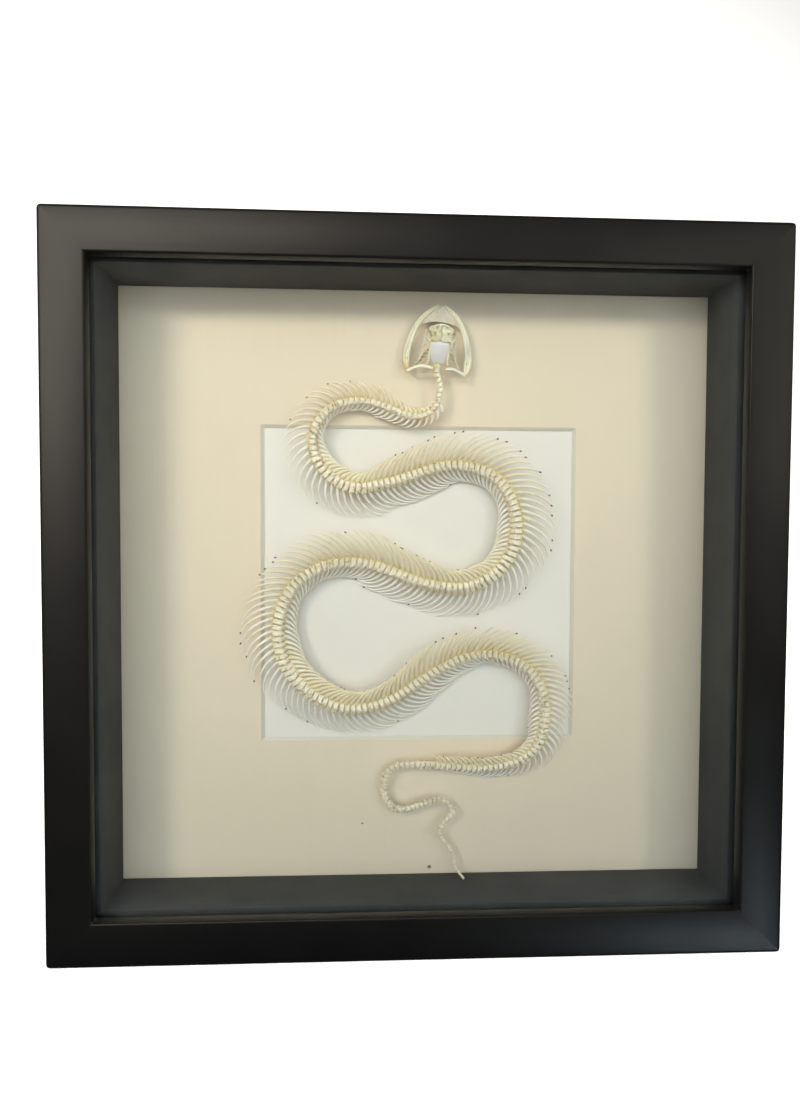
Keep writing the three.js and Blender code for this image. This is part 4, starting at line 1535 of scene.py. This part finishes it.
def toothed_jaw(side):
    word = WORDS[side]
    bm = bmesh.new()
    rear = [(5.0, 6.2, -0.4), (7.0, 8.6, -0.8)] if side > 0 else [(5.6, 9.4, -0.8)]
    places = on_side(side, [*rear, (7.0, 12.8, -1.2), (5.9, 15.8, -1.3), (4.0, 17.8, -1.2)])
    line = bar(bm, places, [(0, 0.4), (0.3, 0.6), (0.6, 0.6), (1, 0.4)], [(0, 0.5), (0.5, 0.7), (1, 0.45)])
    tooth_row(bm, line, 16, side, 1.5, up=-1.0)
    for index in range(STOUT_TEETH):
        place = line.point((0.03 + 0.055 * index) * line.length)
        outwards = Vector((side * (0.9 - 1.4 * (index % 2)), -0.8, 0)).normalized()
        tooth(bm, place, outwards, THROATWARDS, 1.7, stout=1.7)
    skull_piece(bm, f"maxilla_{word}", head_frame, [f"maxilla_{word}"], even_tone(0.1, 0.1, 0.0))
    bm = bmesh.new()
    places = on_side(side, [(3.9, 12.0, -2.2), (4.9, 13.8, -2.0), (4.6, 15.9, -1.6), (3.2, 17.6, -1.2)])
    line = bar(bm, places, [(0, 0.6), (1, 0.35)], [(0, 0.5), (1, 0.4)], steps=10)
    tooth_row(bm, line, 8, side, 1.2, up=-1.0)
    skull_piece(bm, f"palatine_{word}", head_frame, [], even_tone(0.1, 0.4, 0.1))


def channel(x, y, share):
    return x, y * (1 - 0.7 * math.exp(-((x / 0.32) ** 2))) if y > 0 else y


def palate_bars(side):
    word = WORDS[side]
    bm = bmesh.new()
    places = on_side(side, [(2.4, 10.8, 3.4), (5.0, 7.7, 0.9), (8.4, 4.1, -1.3), (11.2, 1.1, -2.8)])
    line = bar(bm, places, [(0, 0.45), (0.3, 0.9), (0.7, 1.0), (1, 0.5)], [(0, 0.4), (0.5, 0.55), (1, 0.4)],
               steps=16, sides=16, profile=channel)
    tooth_row(bm, line, 9, side, 1.0, first=0.1, last=0.6, up=-1.0)
    dark = 0.8 if side < 0 else 0.3

    def tone(out, forward, up):
        return 0.35, 0.0, dark * (0.5 + 0.5 * math.sin(forward * 4))

    skull_piece(bm, f"pterygoid_{word}", jaw_frame, [f"pterygoid_{word}"], tone)
    bar_bone("ectopterygoid", side, jaw_frame, [f"ectopterygoid_{word}"], even_tone(0.0, 0.1, 0.0),
             [(6.9, 10.6, 4.9), (7.5, 8.4, 3.0), (8.2, 5.6, 1.2), (9.4, 3.0, -0.8)],
             [(0, 0.5), (0.4, 0.42), (1, 0.36)], [(0, 0.5), (1, 0.4)], steps=10)


for side in (-1, 1):
    toothed_jaw(side)
    palate_bars(side)

# %% [markdown]
# ## The hinge of the jaw
#
# A snake's lower jaw isn't hinged on the skull itself. A flat bone, the supratemporal, lies along the
# back of the braincase, and from its end a bar, the quadrate, reaches out to the jaw. Both are cream and
# smooth, and the quadrate flares where it carries the jaw.

# %% Make the hinge bones
def flattened(x, y, share):
    return x, y * (1 - 0.3 * math.exp(-((x / 0.35) ** 2))) if y > 0 else y


def hinge_bones(side):
    word = WORDS[side]
    bar_bone("supratemporal", side, head_frame, [f"supratemporal_{word}"], PLAIN_TONE,
             [(4.4, 8.4, 2.4), (4.6, 5.4, 2.5), (4.5, 2.2, 2.5), (5.3, 0.4, 2.3)],
             [(0, 0.35), (0.4, 0.75), (1, 0.6)], [(0, 0.3), (0.5, 0.42), (1, 0.4)], steps=12)
    arch, inner = (1.0, 1.8) if side < 0 else (0.3, 4.0)
    places = [(inner, -0.4, 1.9), (7.2, 0.1 + 0.4 * arch, 1.2), (10.6, -0.7 + 0.5 * arch, 0.0),
              (14.4, -2.0, -1.2)]
    bar_bone("quadrate", side, jaw_frame, [f"quadrate_{word}"], even_tone(0.1, 0.15, 0.0), places,
             [(0, 0.75), (0.35, 0.8), (0.8, 0.75), (1, 1.0)], [(0, 0.6), (0.5, 0.55), (1, 0.8)],
             sides=12, profile=flattened)


for side in (-1, 1):
    hinge_bones(side)

# %% [markdown]
# ## The lower jaws
#
# The two halves of the lower jaw don't grow together at the chin. Each is a long bow, thin and flat in
# front, with a groove between two ridges, and deep behind, where a long hollow held the muscles. The
# rear end has kept ochre gristle. Shade is painted into the groove, and a dark spot of painted shade
# stands for a nerve hole. The places are in millimetres, and its widths and heights are rows along it.

# %% Make the lower jaws
MANDIBLE = [(14.4, -1.2, -3), (15.1, 6.8, -4), (12.5, 18, -3.6), (8.2, 25.4, -2.2), (1.2, 30.8, -1.2)]
JAW_WIDTHS = [(0, 1.1), (0.12, 1.9), (0.35, 1.8), (0.6, 1.4), (0.85, 1.2), (1, 0.8)]
JAW_HEIGHTS = [(0, 1.0), (0.2, 1.9), (0.4, 1.6), (0.75, 1.1), (1, 0.8)]
JAW_LINE = [(6.8, -3.0), (18, -2.8), (31.2, -0.6)]  # how high the ridges are, by how far forward


def jaw_profile(x, y, share):
    """Two ridges with a groove between them, which widens into a hollow near the rear."""
    if y < 0:
        return x, y
    width = 0.30 if share > 0.45 else 0.42
    depth = 0.75 if share > 0.45 else 0.55 + 0.3 * math.sin(share * math.pi / 0.45)
    ends = min(1, share / 0.08, (1 - share) / 0.05)
    groove = depth * ends * math.exp(-(((x - 0.05) / width) ** 2))
    return x, y * (1 - groove)


def lower_jaw(side):
    word = WORDS[side]
    bm = bmesh.new()
    line = bar(bm, on_side(side, MANDIBLE), JAW_WIDTHS, JAW_HEIGHTS, steps=34, sides=20, profile=jaw_profile)
    tooth_row(bm, line, 14, side, 1.7, first=0.52, last=0.97)

    def tone(out, forward, up):
        rear = clamp((8 - forward) / 8)
        # Painted shade: darker where the surface lies below the ridges, in the groove of the front part.
        groove = clamp((along(JAW_LINE, forward) - up) / 1.2) if forward > 9 else 0
        # Painted shade: a dark spot for the nerve hole, which isn't cut into the mesh.
        hole_shade = max(0, 1 - math.hypot(abs(out) - 14.6, forward - 4.6) / 0.8)
        warm = 1.0 if side < 0 else 0.45
        return warm * (0.12 + 0.88 * rear), 0.05 * (side > 0), min(1, 0.25 * groove + hole_shade)

    skull_piece(bm, f"lower_jaw_{word}", jaw_frame, [f"mandible_{word}"], tone)


for side in (-1, 1):
    lower_jaw(side)

# %% [markdown]
# ## The skin of the chin
#
# The tips of the lower jaws are tied by a web of dried gum. It is a thin, crinkled sheet: a grid that is
# fitted between the two bows, creased by a few waves of different length, and given a thickness.

# %% The finish of the dried gum
def dried_gum():
    finish = Finish("dried_gum", Specular_IOR_Level=0.4)
    cloud = finish.noise(2.4 * MM, detail=5, rough=0.65)
    crumbs = finish.between(finish.noise(0.9 * MM, detail=3), 0.66, 0.74)
    skin = finish.mix(cloud, paint(214, 202, 178), paint(240, 230, 210))
    finish.colour(finish.mix(crumbs * 0.6, skin, paint(112, 86, 54)))
    finish.roughness(0.5 + 0.2 * cloud)
    finish.bump(cloud + 0.5 * crumbs, 0.2 * MM)
    return finish


# %% Make the chin web
CHIN_BACK, CHIN_FRONT = 21.4, 30.6
CHIN_HALF_WIDTH = [(0, 10.2), (0.4, 8.0), (0.7, 5.4), (1, 1.5)]
CHIN_THICKNESS = 0.22


def chin_web():
    bm = bmesh.new()
    bmesh.ops.create_grid(bm, x_segments=28, y_segments=16, size=1)
    for vert in bm.verts:
        across, ahead = vert.co.x, (vert.co.y + 1) / 2
        half_width = along(CHIN_HALF_WIDTH, ahead)
        out = across * half_width
        forward = CHIN_BACK + (CHIN_FRONT - CHIN_BACK) * ahead + 2.2 * (1 - across * across) * (1 - ahead)
        crease = 0.16 * math.sin(out * 2.3 + forward) + 0.1 * math.sin(out * 5.1 - forward * 2.7)
        height = -1.3 - 2.4 * (1 - ahead) ** 1.5
        vert.co = spot(out, forward, height + crease * (1 - abs(across)))
    bmesh.ops.recalc_face_normals(bm, faces=bm.faces)
    bmesh.ops.solidify(bm, geom=bm.verts[:] + bm.edges[:] + bm.faces[:], thickness=CHIN_THICKNESS)
    bmesh.ops.transform(bm, matrix=jaw_frame @ Matrix.Scale(MM, 4), verts=bm.verts)
    return finished(bm, "chin_web", [dried_gum()], ["chin"], sharp=60)


chin_web()

# %% [markdown]
# ## Crumbs
#
# Two crumbs of bone lie on the mat near the tail. Each is a small round mesh whose corners are pushed in
# and out.

# %% Make the crumbs
def crumb(name, x, z, radius):
    bm = bmesh.new()
    bmesh.ops.create_icosphere(bm, subdivisions=2, radius=radius)
    for vert in bm.verts:
        vert.co *= chance.uniform(0.75, 1.2)
    bmesh.ops.scale(bm, vec=(1.3, 0.8, 1), verts=bm.verts)
    deepest = max(vert.co.y for vert in bm.verts)
    layer = bm.verts.layers.float_color.new("tone")
    for vert in bm.verts:
        vert[layer] = (0.6, 0.0, 0.9, 1.0)
    bmesh.ops.translate(bm, vec=Vector((x, 0, z)) + Vector((0, MAT_FRONT - deepest, 0)), verts=bm.verts)
    return finished(bm, name, [skull_finish], [], sharp=60)


crumb("crumb_right", 6.9 * MM, 22.9 * MM, 0.75 * MM)
crumb("crumb_left", -27 * MM, 45.5 * MM, 0.45 * MM)

# %% [markdown]
# ## Size
#
# Last, the box of the measured model and the box of what is seen are written down side by side. They
# should agree.

# %% Write both boxes and finish
shown_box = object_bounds()
for name, box in (("measured", measured_box), ("shown", shown_box)):
    print(name, [round(side / MM, 1) for side in box[1] - box[0]], "mm")
